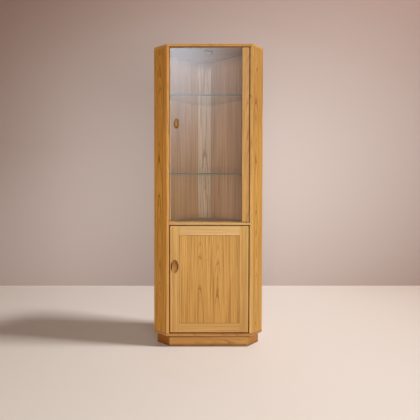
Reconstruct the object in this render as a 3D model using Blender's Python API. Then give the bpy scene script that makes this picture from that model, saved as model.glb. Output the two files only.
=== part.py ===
"""Tall corner display cabinet of oiled wood.

The carcass has a wide front, a canted board at each side and a back that fits a right-angled
room corner. It stands on a set-back plinth. A frameless glass door on a wooden hinge stile
closes the display compartment, which has two glass shelves and a small lamp. A framed and
panelled door with a scooped oval pull closes the cupboard below, which has a wooden shelf.

All sizes are in metres. In the cabinet's own frame the front of the carcass is the plane
y = 0, +Y runs back into the corner, +Z is up and the floor is z = 0.
"""

import math

import bmesh
import bpy
from mathutils import Vector

ROOT2 = math.sqrt(2.0)

# Gap kept between two pieces that touch, and half the gap of a mitre
FIT = 0.0003
MITRE_GAP = 0.00022

# Carcass plan and height
HEIGHT = 1.880
FRONT_HALF_WIDTH = 0.2655
CANT_RUN = 0.0805
BACK_EDGE_HALF_WIDTH = 0.0495

# Carcass boards
TOP_THICKNESS = 0.018
MIDDLE_THICKNESS = 0.0165
BOTTOM_THICKNESS = 0.019
SIDE_THICKNESS = 0.012
BACK_THICKNESS = 0.006
CORNER_THICKNESS = 0.012
MIDDLE_LEVEL = 0.778
BOARD_ROUNDING = 0.003
MIDDLE_ROUNDING = 0.002
SIDE_ROUNDING = 0.0022

# Joints of the carcass
BACK_LIP = 0.005
GROOVE_DEPTH = 0.006
HOUSING_DEPTH = 0.004
HOUSING_STOP = 0.014
TONGUE_LENGTH = 0.007
TONGUE_THICKNESS = 0.005
TONGUE_END = 0.018

# Plinth
PLINTH_HEIGHT = 0.0665
PLINTH_THICKNESS = 0.016
PLINTH_FRONT_SETBACK = 0.017
PLINTH_CANT_SETBACK = 0.0245
PLINTH_BACK_SETBACK = 0.005
GLUE_BLOCK_LEG = 0.036
GLUE_BLOCK_HEIGHT = 0.050

# Shelves and their pegs, with each shelf's level as a share of its compartment's height
SHELF_GAP = 0.002
GLASS_SHELF_THICKNESS = 0.006
GLASS_SHELF_SETBACK = 0.030
GLASS_SHELF_ARRIS = 0.0006
GLASS_SHELF_SHARES = {"lower": 0.2768, "upper": 0.7279}
CUPBOARD_SHELF_THICKNESS = 0.015
CUPBOARD_SHELF_SETBACK = 0.040
CUPBOARD_SHELF_SHARE = 0.4948
CUPBOARD_SHELF_ROUNDING = 0.0015
PEG_RADIUS = 0.0025
PEG_DEPTH = 0.0085
PEG_HEAD_RADIUS = 0.0034
PEG_HEAD_LENGTH = 0.009
PEG_COLLAR_RADIUS = 0.0045
PEG_COLLAR_THICKNESS = 0.0012
PEG_SIDE_POSITION = 0.070
PEG_CORNER_SPACING = 0.056

# Both doors
DOOR_THICKNESS = 0.020
DOOR_SIDE_GAP = 0.004
DOOR_TOP_GAP = 0.004
GLASS_DOOR_BOTTOM_GAP = 0.003
LOWER_DOOR_BOTTOM_GAP = 0.005
DOOR_ROUNDING = 0.0025
PIVOT_EDGE_DISTANCE = 0.010

# Glass door
GLASS_THICKNESS = 0.005
GLASS_SETBACK = 0.006
GLASS_ENTRY = 0.010
GLASS_END_GAP = 0.001
GLASS_CORNER_RADIUS = 0.004
GLASS_ARRIS = 0.0006
HINGE_STILE_WIDTH = 0.0435

# Oval pull on the glass, with its level as a share of the door's height
GLASS_PULL_HALF_WIDTH = 0.016
GLASS_PULL_HALF_HEIGHT = 0.029
GLASS_PULL_THICKNESS = 0.012
GLASS_PULL_BACK_THICKNESS = 0.008
GLASS_PULL_EDGE_DISTANCE = 0.039
GLASS_PULL_SHARE = 0.5664
GLASS_PULL_RIM = 0.0035
GLASS_PULL_DISH = 0.0028
GLASS_PULL_ROUNDING = 0.002
GLASS_HOLE_RADIUS = 0.004
PULL_SCREW_RADIUS = 0.002
PULL_SCREW_HEAD_RADIUS = 0.0036
PULL_SCREW_HEAD_HEIGHT = 0.0022
PULL_SCREW_BITE = 0.0055

# Lower door
STILE_WIDTH = 0.057
RAIL_WIDTH = 0.058
TENON_THICKNESS = 0.007
TENON_LENGTH = 0.020
TENON_HEIGHT = 0.030
PANEL_THICKNESS = 0.0125
PANEL_FRONT_SETBACK = 0.0008
PANEL_TONGUE_THICKNESS = 0.006
PANEL_TONGUE_DEPTH = 0.0055
PANEL_JOINT = 0.0006
PANEL_ARRIS = 0.0008

# Scooped pull let into the lower door, with its level as a share of the door's height
CUP_HALF_WIDTH = 0.0207
CUP_HALF_HEIGHT = 0.0415
CUP_SHARE = 0.6184
CUP_THICKNESS = 0.0120
CUP_RIM = 0.0030
CUP_SCOOP_DEPTH = 0.0085
CUP_RIM_ROUNDING = 0.0008

# Pivot hinges
PLATE_THICKNESS = 0.002
PIN_PLATE_LENGTH = 0.028
PIN_PLATE_WIDTH = 0.012
PIN_PLATE_END = 0.007
SOCKET_PLATE_LENGTH = 0.032
SOCKET_PLATE_WIDTH = 0.014
SOCKET_PLATE_END = 0.008
PIN_RADIUS = 0.003
PIN_CLEARANCE = 0.0001
PIN_ENTRY = 0.006
BUSH_RADIUS = 0.0048
BUSH_DEPTH = 0.0068
WASHER_RADIUS = 0.0065

# Lower door's catch, and the glass door's stop
CATCH_LENGTH = 0.040
CATCH_WIDTH = 0.012
CATCH_HEIGHT = 0.012
CATCH_DOOR_EDGE_DISTANCE = 0.080
STRIKE_LENGTH = 0.034
STRIKE_HEIGHT = 0.010
STRIKE_THICKNESS = 0.0012
STOP_LENGTH = 0.018
STOP_WIDTH = 0.009
STOP_HEIGHT = 0.007
STOP_EDGE_DISTANCE = 0.012
SMALL_ROUNDING = 0.001

# Lamp under the top board, and the bush for its lead
LAMP_DEPTH = 0.090
LAMP_RADIUS = 0.0275
LAMP_HEIGHT = 0.0150
LAMP_RING_HEIGHT = 0.0035
LAMP_RING_WIDTH = 0.0065
LAMP_WALL = 0.0040
LAMP_LENS_THICKNESS = 0.0060
LEAD_HOLE_RADIUS = 0.0080
LEAD_BUSH_WALL = 0.0022
LEAD_BUSH_FLANGE = 0.0030
LEAD_BUSH_FLANGE_THICKNESS = 0.0015
LEAD_HOLE_BACK_DISTANCE = 0.040

# Numbers of facets
ROUND_SEGMENTS = 24
PEG_SEGMENTS = 16
LAMP_SEGMENTS = 48
OVAL_SEGMENTS = 48
ROUNDING_SEGMENTS = 3
SMALL_ROUNDING_SEGMENTS = 2
CHAMFER_SEGMENTS = 1
GLASS_CORNER_SEGMENTS = 4
RIM_STEPS = 3
DISH_STEPS = 5
SHARP_ANGLE = math.radians(40.0)
CUTTER_MARGIN = 0.004
ON_FACE = 0.00001

# Levels, depths and half widths that follow
DEPTH = FRONT_HALF_WIDTH + 2.0 * CANT_RUN - BACK_EDGE_HALF_WIDTH
TOP_UNDERSIDE = HEIGHT - TOP_THICKNESS
MIDDLE_UNDERSIDE = MIDDLE_LEVEL - MIDDLE_THICKNESS
BOTTOM_LEVEL = PLINTH_HEIGHT + BOTTOM_THICKNESS
BACK_INSET = BACK_LIP + BACK_THICKNESS
OPENING_HALF_WIDTH = FRONT_HALF_WIDTH - SIDE_THICKNESS * ROOT2
DOOR_HALF_WIDTH = OPENING_HALF_WIDTH - DOOR_SIDE_GAP
PIVOT_X = DOOR_HALF_WIDTH - PIVOT_EDGE_DISTANCE
PIVOT_Y = DOOR_THICKNESS / 2.0
GLASS_DOOR_BOTTOM = MIDDLE_LEVEL + GLASS_DOOR_BOTTOM_GAP
GLASS_DOOR_TOP = TOP_UNDERSIDE - DOOR_TOP_GAP
LOWER_DOOR_BOTTOM = BOTTOM_LEVEL + LOWER_DOOR_BOTTOM_GAP
LOWER_DOOR_TOP = MIDDLE_UNDERSIDE - DOOR_TOP_GAP
CUPBOARD_SHELF_LEVEL = BOTTOM_LEVEL + CUPBOARD_SHELF_SHARE * (MIDDLE_UNDERSIDE - BOTTOM_LEVEL)
GLASS_PULL_LEVEL = GLASS_DOOR_BOTTOM + GLASS_PULL_SHARE * (GLASS_DOOR_TOP - GLASS_DOOR_BOTTOM)
CUP_LEVEL = LOWER_DOOR_BOTTOM + CUP_SHARE * (LOWER_DOOR_TOP - LOWER_DOOR_BOTTOM)
GLASS_PULL_PROUD = GLASS_PULL_THICKNESS + FIT - GLASS_SETBACK
FRONT_PLANE_Y = (GLASS_PULL_PROUD - DEPTH) / 2.0


# Scene and objects

def clear_scene():
    """Remove every object that the scene starts with."""
    for obj in list(bpy.data.objects):
        bpy.data.objects.remove(obj, do_unlink=True)


def material(name, colour, roughness, metallic=0.0, alpha=1.0):
    """Make a plain material with one shader."""
    made = bpy.data.materials.new(name)
    made.use_nodes = True
    shader = made.node_tree.nodes["Principled BSDF"]
    shader.inputs["Base Color"].default_value = (*colour, 1.0)
    shader.inputs["Roughness"].default_value = roughness
    shader.inputs["Metallic"].default_value = metallic
    shader.inputs["Alpha"].default_value = alpha
    made.diffuse_color = (*colour, alpha)
    return made


def link_object(name, data, parent, location=(0.0, 0.0, 0.0), rotation=(0.0, 0.0, 0.0)):
    """Place an object or an empty under its parent."""
    obj = bpy.data.objects.new(name, data)
    bpy.context.scene.collection.objects.link(obj)
    obj.parent = parent
    obj.location = location
    obj.rotation_euler = rotation
    return obj


def mesh_from(name, bm):
    """Turn a finished bmesh into mesh data."""
    data = bpy.data.meshes.new(name)
    bm.to_mesh(data)
    bm.free()
    return data


def add_piece(name, bm, finish, parent, location=(0.0, 0.0, 0.0), rotation=(0.0, 0.0, 0.0), smooth=False):
    """Make one named piece of the cabinet with its material."""
    data = mesh_from(name, bm)
    data.materials.append(finish)
    if smooth:
        data.shade_smooth()
        data.set_sharp_from_angle(angle=SHARP_ANGLE)
    return link_object(name, data, parent, location, rotation)


def add_tool(name, bm, parent, location=(0.0, 0.0, 0.0), rotation=(0.0, 0.0, 0.0)):
    """Make a shape that only cuts or joins other pieces."""
    tool = link_object(name, mesh_from(name, bm), parent, location, rotation)
    tool.display_type = "WIRE"
    tool.hide_render = True
    return tool


def combine(piece, tool, operation="DIFFERENCE"):
    """Cut a tool out of a piece, or join it on."""
    step = piece.modifiers.new(tool.name, "BOOLEAN")
    step.operation = operation
    step.solver = "EXACT"
    step.object = tool


# Shapes

def loft(rings, closed=False):
    """Join rings of equally many points into one closed body."""
    bm = bmesh.new()
    loops = [[bm.verts.new(point) for point in ring] for ring in rings]
    pairs = list(zip(loops, loops[1:]))
    if closed:
        pairs.append((loops[-1], loops[0]))
    else:
        bm.faces.new(loops[0])
        bm.faces.new(loops[-1])
    count = len(loops[0])
    for lower, upper in pairs:
        for i in range(count):
            j = (i + 1) % count
            bm.faces.new((lower[i], lower[j], upper[j], upper[i]))
    bmesh.ops.recalc_face_normals(bm, faces=bm.faces)
    return bm


def prism(outline, low, high):
    """Raise a plan outline from one level to another."""
    return loft([[Vector((x, y, z)) for x, y in outline] for z in (low, high)])


def box(x_range, y_range, z_range):
    """Make a block from its ranges along the three axes."""
    return prism(rectangle(x_range, y_range), *z_range)


def rectangle(first_range, second_range):
    """List the corners of a rectangle, anticlockwise."""
    (a, b), (c, d) = first_range, second_range
    return [(a, c), (b, c), (b, d), (a, d)]


def turned(profile, segments=ROUND_SEGMENTS, closed=False):
    """Turn a profile of (radius, height) pairs round the Z axis."""
    angles = [2.0 * math.pi * i / segments for i in range(segments)]
    rings = [[Vector((r * math.cos(a), r * math.sin(a), z)) for a in angles] for r, z in profile]
    return loft(rings, closed)


def oval_body(half_width, half_height, profile):
    """Stack ovals along Y, each given as (inset from the outline, y)."""
    angles = [2.0 * math.pi * i / OVAL_SEGMENTS for i in range(OVAL_SEGMENTS)]
    rings = []
    for inset, y in profile:
        rings.append([Vector(((half_width - inset) * math.cos(a), y, (half_height - inset) * math.sin(a)))
                      for a in angles])
    return loft(rings)


def bar(sections):
    """Carry rectangles along X, each given as (x, y range, z range)."""
    rings = [[Vector((x, y, z)) for y, z in rectangle(y_range, z_range)] for x, y_range, z_range in sections]
    return loft(rings)


def slab(sections):
    """Carry rectangles along Y, each given as (y, x range, z range)."""
    rings = [[Vector((x, y, z)) for x, z in rectangle(x_range, z_range)] for y, x_range, z_range in sections]
    return loft(rings)


def centred(size):
    """Give the range of a size about zero."""
    return (-size / 2.0, size / 2.0)


def grown(value_range, margin):
    """Widen a range at both ends, or narrow it if the margin is negative."""
    return (value_range[0] - margin, value_range[1] + margin)


def soften(bm, radius, chosen, segments=ROUNDING_SEGMENTS):
    """Round the edges whose two end points pass a test."""
    edges = [edge for edge in bm.edges if chosen(edge.verts[0].co, edge.verts[1].co)]
    bmesh.ops.bevel(bm, geom=edges, offset=radius, segments=segments, profile=0.5, affect="EDGES")
    bmesh.ops.recalc_face_normals(bm, faces=bm.faces)


def soften_all(bm, radius):
    """Round every edge of a small block."""
    soften(bm, radius, lambda a, b: True, SMALL_ROUNDING_SEGMENTS)


# Plan of the cabinet

def plan_outline(front=0.0, cant=0.0, back=0.0, corner=0.0):
    """Give the plan outline with each kind of edge moved inwards by its own distance."""
    cant_line = FRONT_HALF_WIDTH - cant * ROOT2
    back_line = FRONT_HALF_WIDTH + 2.0 * CANT_RUN - back * ROOT2
    corner_y = DEPTH - corner
    right = [(cant_line + front, front),
             ((back_line + cant_line) / 2.0, (back_line - cant_line) / 2.0),
             (back_line - corner_y, corner_y)]
    left = [(-x, y) for x, y in reversed(right)]
    return right + left


def wing_point(across, behind):
    """Give a right-hand plan point from the outer rear corner of the side board.

    The first distance runs inwards along the back, and the second runs out towards the wall.
    """
    x = FRONT_HALF_WIDTH + CANT_RUN + (behind - across) / ROOT2
    y = CANT_RUN + (behind + across) / ROOT2
    return (x, y)


def wing_front(across):
    """Give the second distance at which a line along the side board meets the front plane."""
    return -CANT_RUN * ROOT2 - across


def mirrored(outline, side):
    """Use a right-hand outline as it is, or mirror it for the left."""
    return [(side * x, y) for x, y in outline]


def on_front_or_cant(point):
    """Tell whether a point lies on the front face or on a canted face of the carcass."""
    return point.y < ON_FACE or abs(point.x) - point.y > FRONT_HALF_WIDTH - ON_FACE


def on_outer_corner(point):
    """Tell whether a point lies on the rear corner of a canted face."""
    return point.y > CANT_RUN - ON_FACE


def back_strip(side, across_range, behind_range):
    """Outline a straight strip along one wing of the back."""
    corners = [wing_point(u, v) for u, v in rectangle(across_range, behind_range)]
    return mirrored(corners, side)


# Carcass boards

SIDES = {"left": -1, "right": 1}
PANEL_BAND = (-BACK_INSET, -BACK_LIP)
TONGUE_BAND = ((SIDE_THICKNESS - TONGUE_THICKNESS) / 2.0, (SIDE_THICKNESS + TONGUE_THICKNESS) / 2.0)
PANEL_START = SIDE_THICKNESS - GROOVE_DEPTH
WING_RUN = (DEPTH - CANT_RUN) * ROOT2 + BACK_INSET


def tongue_outline(gap):
    """Outline a side board's end tongue, or its groove where the gap is positive."""
    front = wing_front(TONGUE_BAND[0]) + TONGUE_END - gap
    back = -BACK_INSET - TONGUE_END / 2.0 + gap
    across = grown(TONGUE_BAND, gap)
    return [wing_point(u, v) for u, v in rectangle(across, (front, back))]


def end_board(name, thickness, inner_level, finish, cabinet, level):
    """Make the top or the bottom board, which covers the ends of the sides and backs.

    The inner level is the height, in the board's own frame, of the face that the sides meet.
    """
    bm = prism(plan_outline(), 0.0, thickness)

    def is_shown_edge(a, b):
        if not (on_front_or_cant(a) and on_front_or_cant(b)):
            return False
        upright = abs(a.z - b.z) > ON_FACE
        return not (upright and on_outer_corner(a))

    soften(bm, BOARD_ROUNDING, is_shown_edge)
    board = add_piece(name, bm, finish, cabinet, (0.0, 0.0, level))
    inwards = 1.0 if inner_level > 0.0 else -1.0
    groove = sorted((inner_level - inwards * GROOVE_DEPTH, inner_level + inwards * CUTTER_MARGIN))
    mortise = sorted((inner_level - inwards * TONGUE_LENGTH, inner_level + inwards * CUTTER_MARGIN))
    for side_name, side in SIDES.items():
        strip = back_strip(side, (PANEL_START, WING_RUN + CUTTER_MARGIN), grown(PANEL_BAND, FIT))
        outline = mirrored(tongue_outline(FIT), side)
        cuts = {"back_groove": prism(strip, *groove), "side_mortise": prism(outline, *mortise)}
        for cut_name, shape in cuts.items():
            cutter = add_tool(f"cut_{name}_{cut_name}_{side_name}", shape, cabinet, (0.0, 0.0, level))
            combine(board, cutter)
    return board


def middle_board(finish, cabinet):
    """Make the board between the compartments, housed into both sides behind its front corners."""
    stop = wing_front(SIDE_THICKNESS) + HOUSING_STOP
    shoulder = SIDE_THICKNESS + FIT
    housed = SIDE_THICKNESS - HOUSING_DEPTH + FIT
    rear = -BACK_INSET - FIT
    corner_y = DEPTH - CORNER_THICKNESS - FIT
    corner_x = FRONT_HALF_WIDTH + 2.0 * CANT_RUN - (BACK_INSET + FIT) * ROOT2 - corner_y
    steps = [(shoulder, wing_front(shoulder)), (shoulder, stop), (housed, stop), (housed, rear)]
    right = [wing_point(u, v) for u, v in steps] + [(corner_x, corner_y)]
    outline = right + [(-x, y) for x, y in reversed(right)]
    bm = prism(outline, 0.0, MIDDLE_THICKNESS)
    soften(bm, MIDDLE_ROUNDING, lambda a, b: a.y < ON_FACE and b.y < ON_FACE and abs(a.z - b.z) < ON_FACE)
    return add_piece("middle_board", bm, finish, cabinet, (0.0, 0.0, MIDDLE_UNDERSIDE))


def side_board(side_name, side, finish, cabinet):
    """Make one canted side board with a tongue at each end, a housing and a back groove."""
    low = BOTTOM_LEVEL + FIT
    high = TOP_UNDERSIDE - FIT
    full = [wing_point(u, v) for u, v in ((0.0, wing_front(0.0)), (0.0, 0.0), (SIDE_THICKNESS, 0.0),
                                          (SIDE_THICKNESS, wing_front(SIDE_THICKNESS)))]
    first, second, third, fourth = tongue_outline(0.0)
    tongue = [first, fourth, third, second]
    reach = TONGUE_LENGTH - 2.0 * FIT
    levels = [(tongue, low - reach), (tongue, low), (full, low), (full, high), (tongue, high),
              (tongue, high + reach)]
    bm = loft([[Vector((side * x, y, z)) for x, y in outline] for outline, z in levels])
    soften(bm, SIDE_ROUNDING, lambda a, b: a.y < ON_FACE and b.y < ON_FACE and abs(a.z - b.z) > ON_FACE)
    name = f"side_board_{side_name}"
    board = add_piece(name, bm, finish, cabinet)
    groove = back_strip(side, (PANEL_START, SIDE_THICKNESS + CUTTER_MARGIN), grown(PANEL_BAND, FIT))
    groove_body = prism(groove, *grown((low, high), CUTTER_MARGIN))
    combine(board, add_tool(f"cut_{name}_back_groove", groove_body, cabinet))
    stop = wing_front(SIDE_THICKNESS) + HOUSING_STOP - FIT
    housing = back_strip(side, (SIDE_THICKNESS - HOUSING_DEPTH, SIDE_THICKNESS + CUTTER_MARGIN),
                         (stop, -BACK_INSET))
    housing_body = prism(housing, *grown((MIDDLE_UNDERSIDE, MIDDLE_LEVEL), FIT))
    combine(board, add_tool(f"cut_{name}_housing", housing_body, cabinet))
    return board


def back_panel(side_name, side, finish, cabinet):
    """Make one thin back panel, let into grooves at the side, the top and the bottom."""
    low = BOTTOM_LEVEL - GROOVE_DEPTH + FIT
    high = TOP_UNDERSIDE + GROOVE_DEPTH - FIT
    inner, outer = PANEL_BAND
    start = PANEL_START + FIT
    ends = [(FRONT_HALF_WIDTH + 2.0 * CANT_RUN + v * ROOT2 - DEPTH, DEPTH) for v in (outer, inner)]
    outline = [wing_point(start, inner), wing_point(start, outer)] + ends
    bm = prism(mirrored(outline, side), low, high)
    return add_piece(f"back_panel_{side_name}", bm, finish, cabinet)


def back_corner_board(finish, cabinet):
    """Make the narrow solid board that closes the corner between the two back panels."""
    line = FRONT_HALF_WIDTH + 2.0 * CANT_RUN - (BACK_INSET + FIT) * ROOT2
    inner_y = DEPTH - CORNER_THICKNESS
    right = [(line - inner_y, inner_y), (line - DEPTH, DEPTH)]
    outline = right + [(-x, y) for x, y in reversed(right)]
    bm = prism(outline, *grown((BOTTOM_LEVEL, TOP_UNDERSIDE), -FIT))
    return add_piece("back_corner_board", bm, finish, cabinet)


# Plinth

def plinth_outline(inset):
    """Outline the plinth, moved inwards by a distance from its outer faces."""
    back = PLINTH_BACK_SETBACK + inset
    return plan_outline(PLINTH_FRONT_SETBACK + inset, PLINTH_CANT_SETBACK + inset, back, back)


def mitred_board(outer, inner, index):
    """Outline the board on one edge of the plinth, mitred to its neighbours with a fine gap."""
    following = (index + 1) % len(outer)
    start, end = Vector(outer[index]), Vector(outer[following])
    along = (end - start).normalized() * MITRE_GAP
    points = [start + along, end - along, Vector(inner[following]) - along, Vector(inner[index]) + along]
    return [(point.x, point.y) for point in points]


def plinth(finish, cabinet):
    """Make the six mitred boards of the plinth and the glue blocks behind its front mitres."""
    outer = plinth_outline(0.0)
    inner = plinth_outline(PLINTH_THICKNESS)
    names = ["plinth_side_right", "plinth_back_right", "plinth_back_corner", "plinth_back_left",
             "plinth_side_left", "plinth_front"]
    for index, name in enumerate(names):
        bm = prism(mitred_board(outer, inner, index), 0.0, PLINTH_HEIGHT - FIT)
        add_piece(name, bm, finish, cabinet)
    block_face = plinth_outline(PLINTH_THICKNESS + FIT)
    for side_name, side in SIDES.items():
        corner = Vector(block_face[0])
        towards_cant = corner + Vector((1.0, 1.0)).normalized() * GLUE_BLOCK_LEG
        towards_middle = corner - Vector((GLUE_BLOCK_LEG, 0.0))
        outline = mirrored([tuple(corner), tuple(towards_cant), tuple(towards_middle)], side)
        bm = prism(outline, PLINTH_HEIGHT - FIT - GLUE_BLOCK_HEIGHT, PLINTH_HEIGHT - FIT)
        add_piece(f"plinth_block_{side_name}", bm, finish, cabinet)


# Shelves and pegs

def shelf_outline(setback):
    """Outline a shelf that clears the sides, the backs and the corner board all round."""
    cant, back, corner = (size + SHELF_GAP for size in (SIDE_THICKNESS, BACK_INSET, CORNER_THICKNESS))
    return plan_outline(setback, cant, back, corner)


def is_level_edge(a, b):
    """Tell whether an edge runs level."""
    return abs(a.z - b.z) < ON_FACE


def peg_places():
    """Give each peg's name, its point on a board's inner face and its direction into the compartment."""
    places = []
    for side_name, side in SIDES.items():
        x, y = wing_point(SIDE_THICKNESS, wing_front(SIDE_THICKNESS) + PEG_SIDE_POSITION)
        inwards = Vector((-side, 1.0, 0.0)).normalized()
        places.append((f"side_{side_name}", Vector((side * x, y, 0.0)), inwards))
        face_point = Vector((side * PEG_CORNER_SPACING / 2.0, DEPTH - CORNER_THICKNESS, 0.0))
        places.append((f"back_{side_name}", face_point, Vector((0.0, -1.0, 0.0))))
    return places


def peg_mesh(finish):
    """Turn a shelf peg: a spigot in the board, a thin collar and a round head."""
    collar_end = FIT + PEG_COLLAR_THICKNESS
    profile = [(PEG_RADIUS, -PEG_DEPTH), (PEG_RADIUS, FIT), (PEG_COLLAR_RADIUS, FIT),
               (PEG_COLLAR_RADIUS, collar_end), (PEG_HEAD_RADIUS, collar_end),
               (PEG_HEAD_RADIUS, PEG_HEAD_LENGTH)]
    data = mesh_from("shelf_peg", turned(profile, PEG_SEGMENTS))
    data.materials.append(finish)
    data.shade_smooth()
    data.set_sharp_from_angle(angle=SHARP_ANGLE)
    return data


def shelf_pegs(shelf_name, underside, data, boards, cabinet):
    """Place the four pegs of one shelf, and bore their holes in the boards that carry them."""
    for place, point, direction in peg_places():
        level = Vector((0.0, 0.0, underside - FIT - PEG_HEAD_RADIUS))
        turn = direction.to_track_quat("Z", "Y").to_euler()
        name = f"peg_{shelf_name}_{place}"
        link_object(name, data, cabinet, point + level, turn)
        radius = PEG_RADIUS + FIT
        bore = turned([(radius, -PEG_DEPTH - FIT), (radius, CUTTER_MARGIN)], PEG_SEGMENTS)
        combine(boards[place], add_tool(f"cut_{name}", bore, cabinet, point + level, turn))


def glass_shelf(name, underside, finish, cabinet):
    """Make one glass shelf with its arrises taken off."""
    bm = prism(shelf_outline(GLASS_SHELF_SETBACK), 0.0, GLASS_SHELF_THICKNESS)
    soften(bm, GLASS_SHELF_ARRIS, is_level_edge, CHAMFER_SEGMENTS)
    return add_piece(name, bm, finish, cabinet, (0.0, 0.0, underside))


def cupboard_shelf(finish, cabinet):
    """Make the wooden shelf of the cupboard with a rounded front edge."""
    bm = prism(shelf_outline(CUPBOARD_SHELF_SETBACK), 0.0, CUPBOARD_SHELF_THICKNESS)
    front = CUPBOARD_SHELF_SETBACK + ON_FACE
    soften(bm, CUPBOARD_SHELF_ROUNDING, lambda a, b: a.y < front and b.y < front and is_level_edge(a, b))
    return add_piece("cupboard_shelf", bm, finish, cabinet, (0.0, 0.0, CUPBOARD_SHELF_LEVEL))


# Lamp

def lamp(metal, lens, cabinet):
    """Make the round lamp under the top board: a housing, a lens and the ring that holds it."""
    place = (0.0, LAMP_DEPTH, TOP_UNDERSIDE - FIT)
    ring_top = -LAMP_HEIGHT + LAMP_RING_HEIGHT
    hollow = LAMP_RADIUS - LAMP_WALL
    lens_top = ring_top + LAMP_LENS_THICKNESS - FIT
    housing = turned([(LAMP_RADIUS, 0.0), (LAMP_RADIUS, ring_top + FIT), (hollow, ring_top + FIT),
                      (hollow, lens_top + FIT)], LAMP_SEGMENTS)
    add_piece("lamp_housing", housing, metal, cabinet, place, smooth=True)
    lens_radius = hollow - FIT
    lens_body = turned([(lens_radius, ring_top + FIT), (lens_radius, lens_top)], LAMP_SEGMENTS)
    add_piece("lamp_lens", lens_body, lens, cabinet, place, smooth=True)
    bore = LAMP_RADIUS - LAMP_RING_WIDTH
    ring = turned([(bore, ring_top), (LAMP_RADIUS, ring_top), (LAMP_RADIUS, -LAMP_HEIGHT + SMALL_ROUNDING),
                   (LAMP_RADIUS - SMALL_ROUNDING, -LAMP_HEIGHT), (bore + SMALL_ROUNDING, -LAMP_HEIGHT)],
                  LAMP_SEGMENTS, closed=True)
    add_piece("lamp_ring", ring, metal, cabinet, place, smooth=True)


def lead_bush(finish, top_board, cabinet):
    """Make the bush that lines the lead's hole at the back of the top board, flush with its face."""
    place = (0.0, DEPTH - CORNER_THICKNESS - LEAD_HOLE_BACK_DISTANCE, HEIGHT)
    flange = LEAD_HOLE_RADIUS + LEAD_BUSH_FLANGE
    step = -LEAD_BUSH_FLANGE_THICKNESS
    hole = turned([(LEAD_HOLE_RADIUS, -TOP_THICKNESS - CUTTER_MARGIN), (LEAD_HOLE_RADIUS, step - FIT),
                   (flange + FIT, step - FIT), (flange + FIT, CUTTER_MARGIN)])
    combine(top_board, add_tool("cut_lead_hole", hole, cabinet, place))
    barrel = LEAD_HOLE_RADIUS - FIT
    bore = barrel - LEAD_BUSH_WALL
    body = turned([(bore, 0.0), (bore, -TOP_THICKNESS), (barrel, -TOP_THICKNESS), (barrel, step),
                   (flange, step), (flange, 0.0)], closed=True)
    add_piece("lead_bush", body, finish, cabinet, place, smooth=True)


# Pivot hinges

def flipped(upwards):
    """Give the rotation of a hinge part that points up, or down."""
    return (0.0, 0.0, 0.0) if upwards else (math.pi, 0.0, 0.0)


def plate_ranges(length, width, end, gap=0.0):
    """Give a hinge plate's ranges about the pivot axis, widened by a gap."""
    return grown((end - length, end), gap), grown(centred(width), gap)


def cut_plate_recess(name, piece, parent, place, upwards, length, width, end):
    """Let a hinge plate into a face that points up or down."""
    ranges = plate_ranges(length, width, end, FIT)
    recess = box(*ranges, (-PLATE_THICKNESS - FIT, CUTTER_MARGIN))
    combine(piece, add_tool(f"cut_{name}_recess", recess, parent, place, flipped(upwards)))


def pin_plate(name, stile, door, level, upwards, gap, finish):
    """Make a plate let into the end of a stile, with the pin that stands out of it."""
    place = (0.0, 0.0, level)
    cut_plate_recess(name, stile, door, place, upwards, PIN_PLATE_LENGTH, PIN_PLATE_WIDTH, PIN_PLATE_END)
    bm = box(*plate_ranges(PIN_PLATE_LENGTH, PIN_PLATE_WIDTH, PIN_PLATE_END), (-PLATE_THICKNESS, 0.0))
    plate = add_piece(name, bm, finish, door, place, flipped(upwards))
    tip = gap + PIN_ENTRY
    pin = turned([(PIN_RADIUS, -PLATE_THICKNESS / 2.0), (PIN_RADIUS, tip - SMALL_ROUNDING),
                  (PIN_RADIUS - SMALL_ROUNDING, tip)])
    combine(plate, add_tool(f"join_{name}_pin", pin, door, place, flipped(upwards)), "UNION")


def socket_plate(name, board, cabinet, level, upwards, finish):
    """Make a plate let into a board, with the bush that takes a door's pin."""
    place = (PIVOT_X, PIVOT_Y, level)
    cut_plate_recess(name, board, cabinet, place, upwards, SOCKET_PLATE_LENGTH, SOCKET_PLATE_WIDTH,
                     SOCKET_PLATE_END)
    bore = turned([(BUSH_RADIUS + FIT, -BUSH_DEPTH - FIT), (BUSH_RADIUS + FIT, -PLATE_THICKNESS / 2.0)])
    combine(board, add_tool(f"cut_{name}_bore", bore, cabinet, place, flipped(upwards)))
    ranges = plate_ranges(SOCKET_PLATE_LENGTH, SOCKET_PLATE_WIDTH, SOCKET_PLATE_END)
    plate = add_piece(name, box(*ranges, (-PLATE_THICKNESS, 0.0)), finish, cabinet, place, flipped(upwards))
    bush = turned([(BUSH_RADIUS, -BUSH_DEPTH), (BUSH_RADIUS, -PLATE_THICKNESS / 2.0)])
    combine(plate, add_tool(f"join_{name}_bush", bush, cabinet, place, flipped(upwards)), "UNION")
    hole_radius = PIN_RADIUS + PIN_CLEARANCE
    hole = turned([(hole_radius, -BUSH_DEPTH - CUTTER_MARGIN), (hole_radius, CUTTER_MARGIN)])
    combine(plate, add_tool(f"cut_{name}_hole", hole, cabinet, place, flipped(upwards)))


def thrust_washer(name, level, gap, finish, cabinet):
    """Make the washer that carries a door on its lower pivot."""
    low, high = FIT, gap - FIT
    inner = PIN_RADIUS + PIN_CLEARANCE
    ring = turned([(inner, low), (WASHER_RADIUS, low), (WASHER_RADIUS, high), (inner, high)], closed=True)
    add_piece(name, ring, finish, cabinet, (PIVOT_X, PIVOT_Y, level), smooth=True)


# Glass door

TOWARDS_FRONT = (math.pi / 2.0, 0.0, 0.0)


def from_pivot(x, y, z):
    """Turn a point of the cabinet's frame into one measured from a door's pivot axis."""
    return Vector((x - PIVOT_X, y - PIVOT_Y, z))


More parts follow.
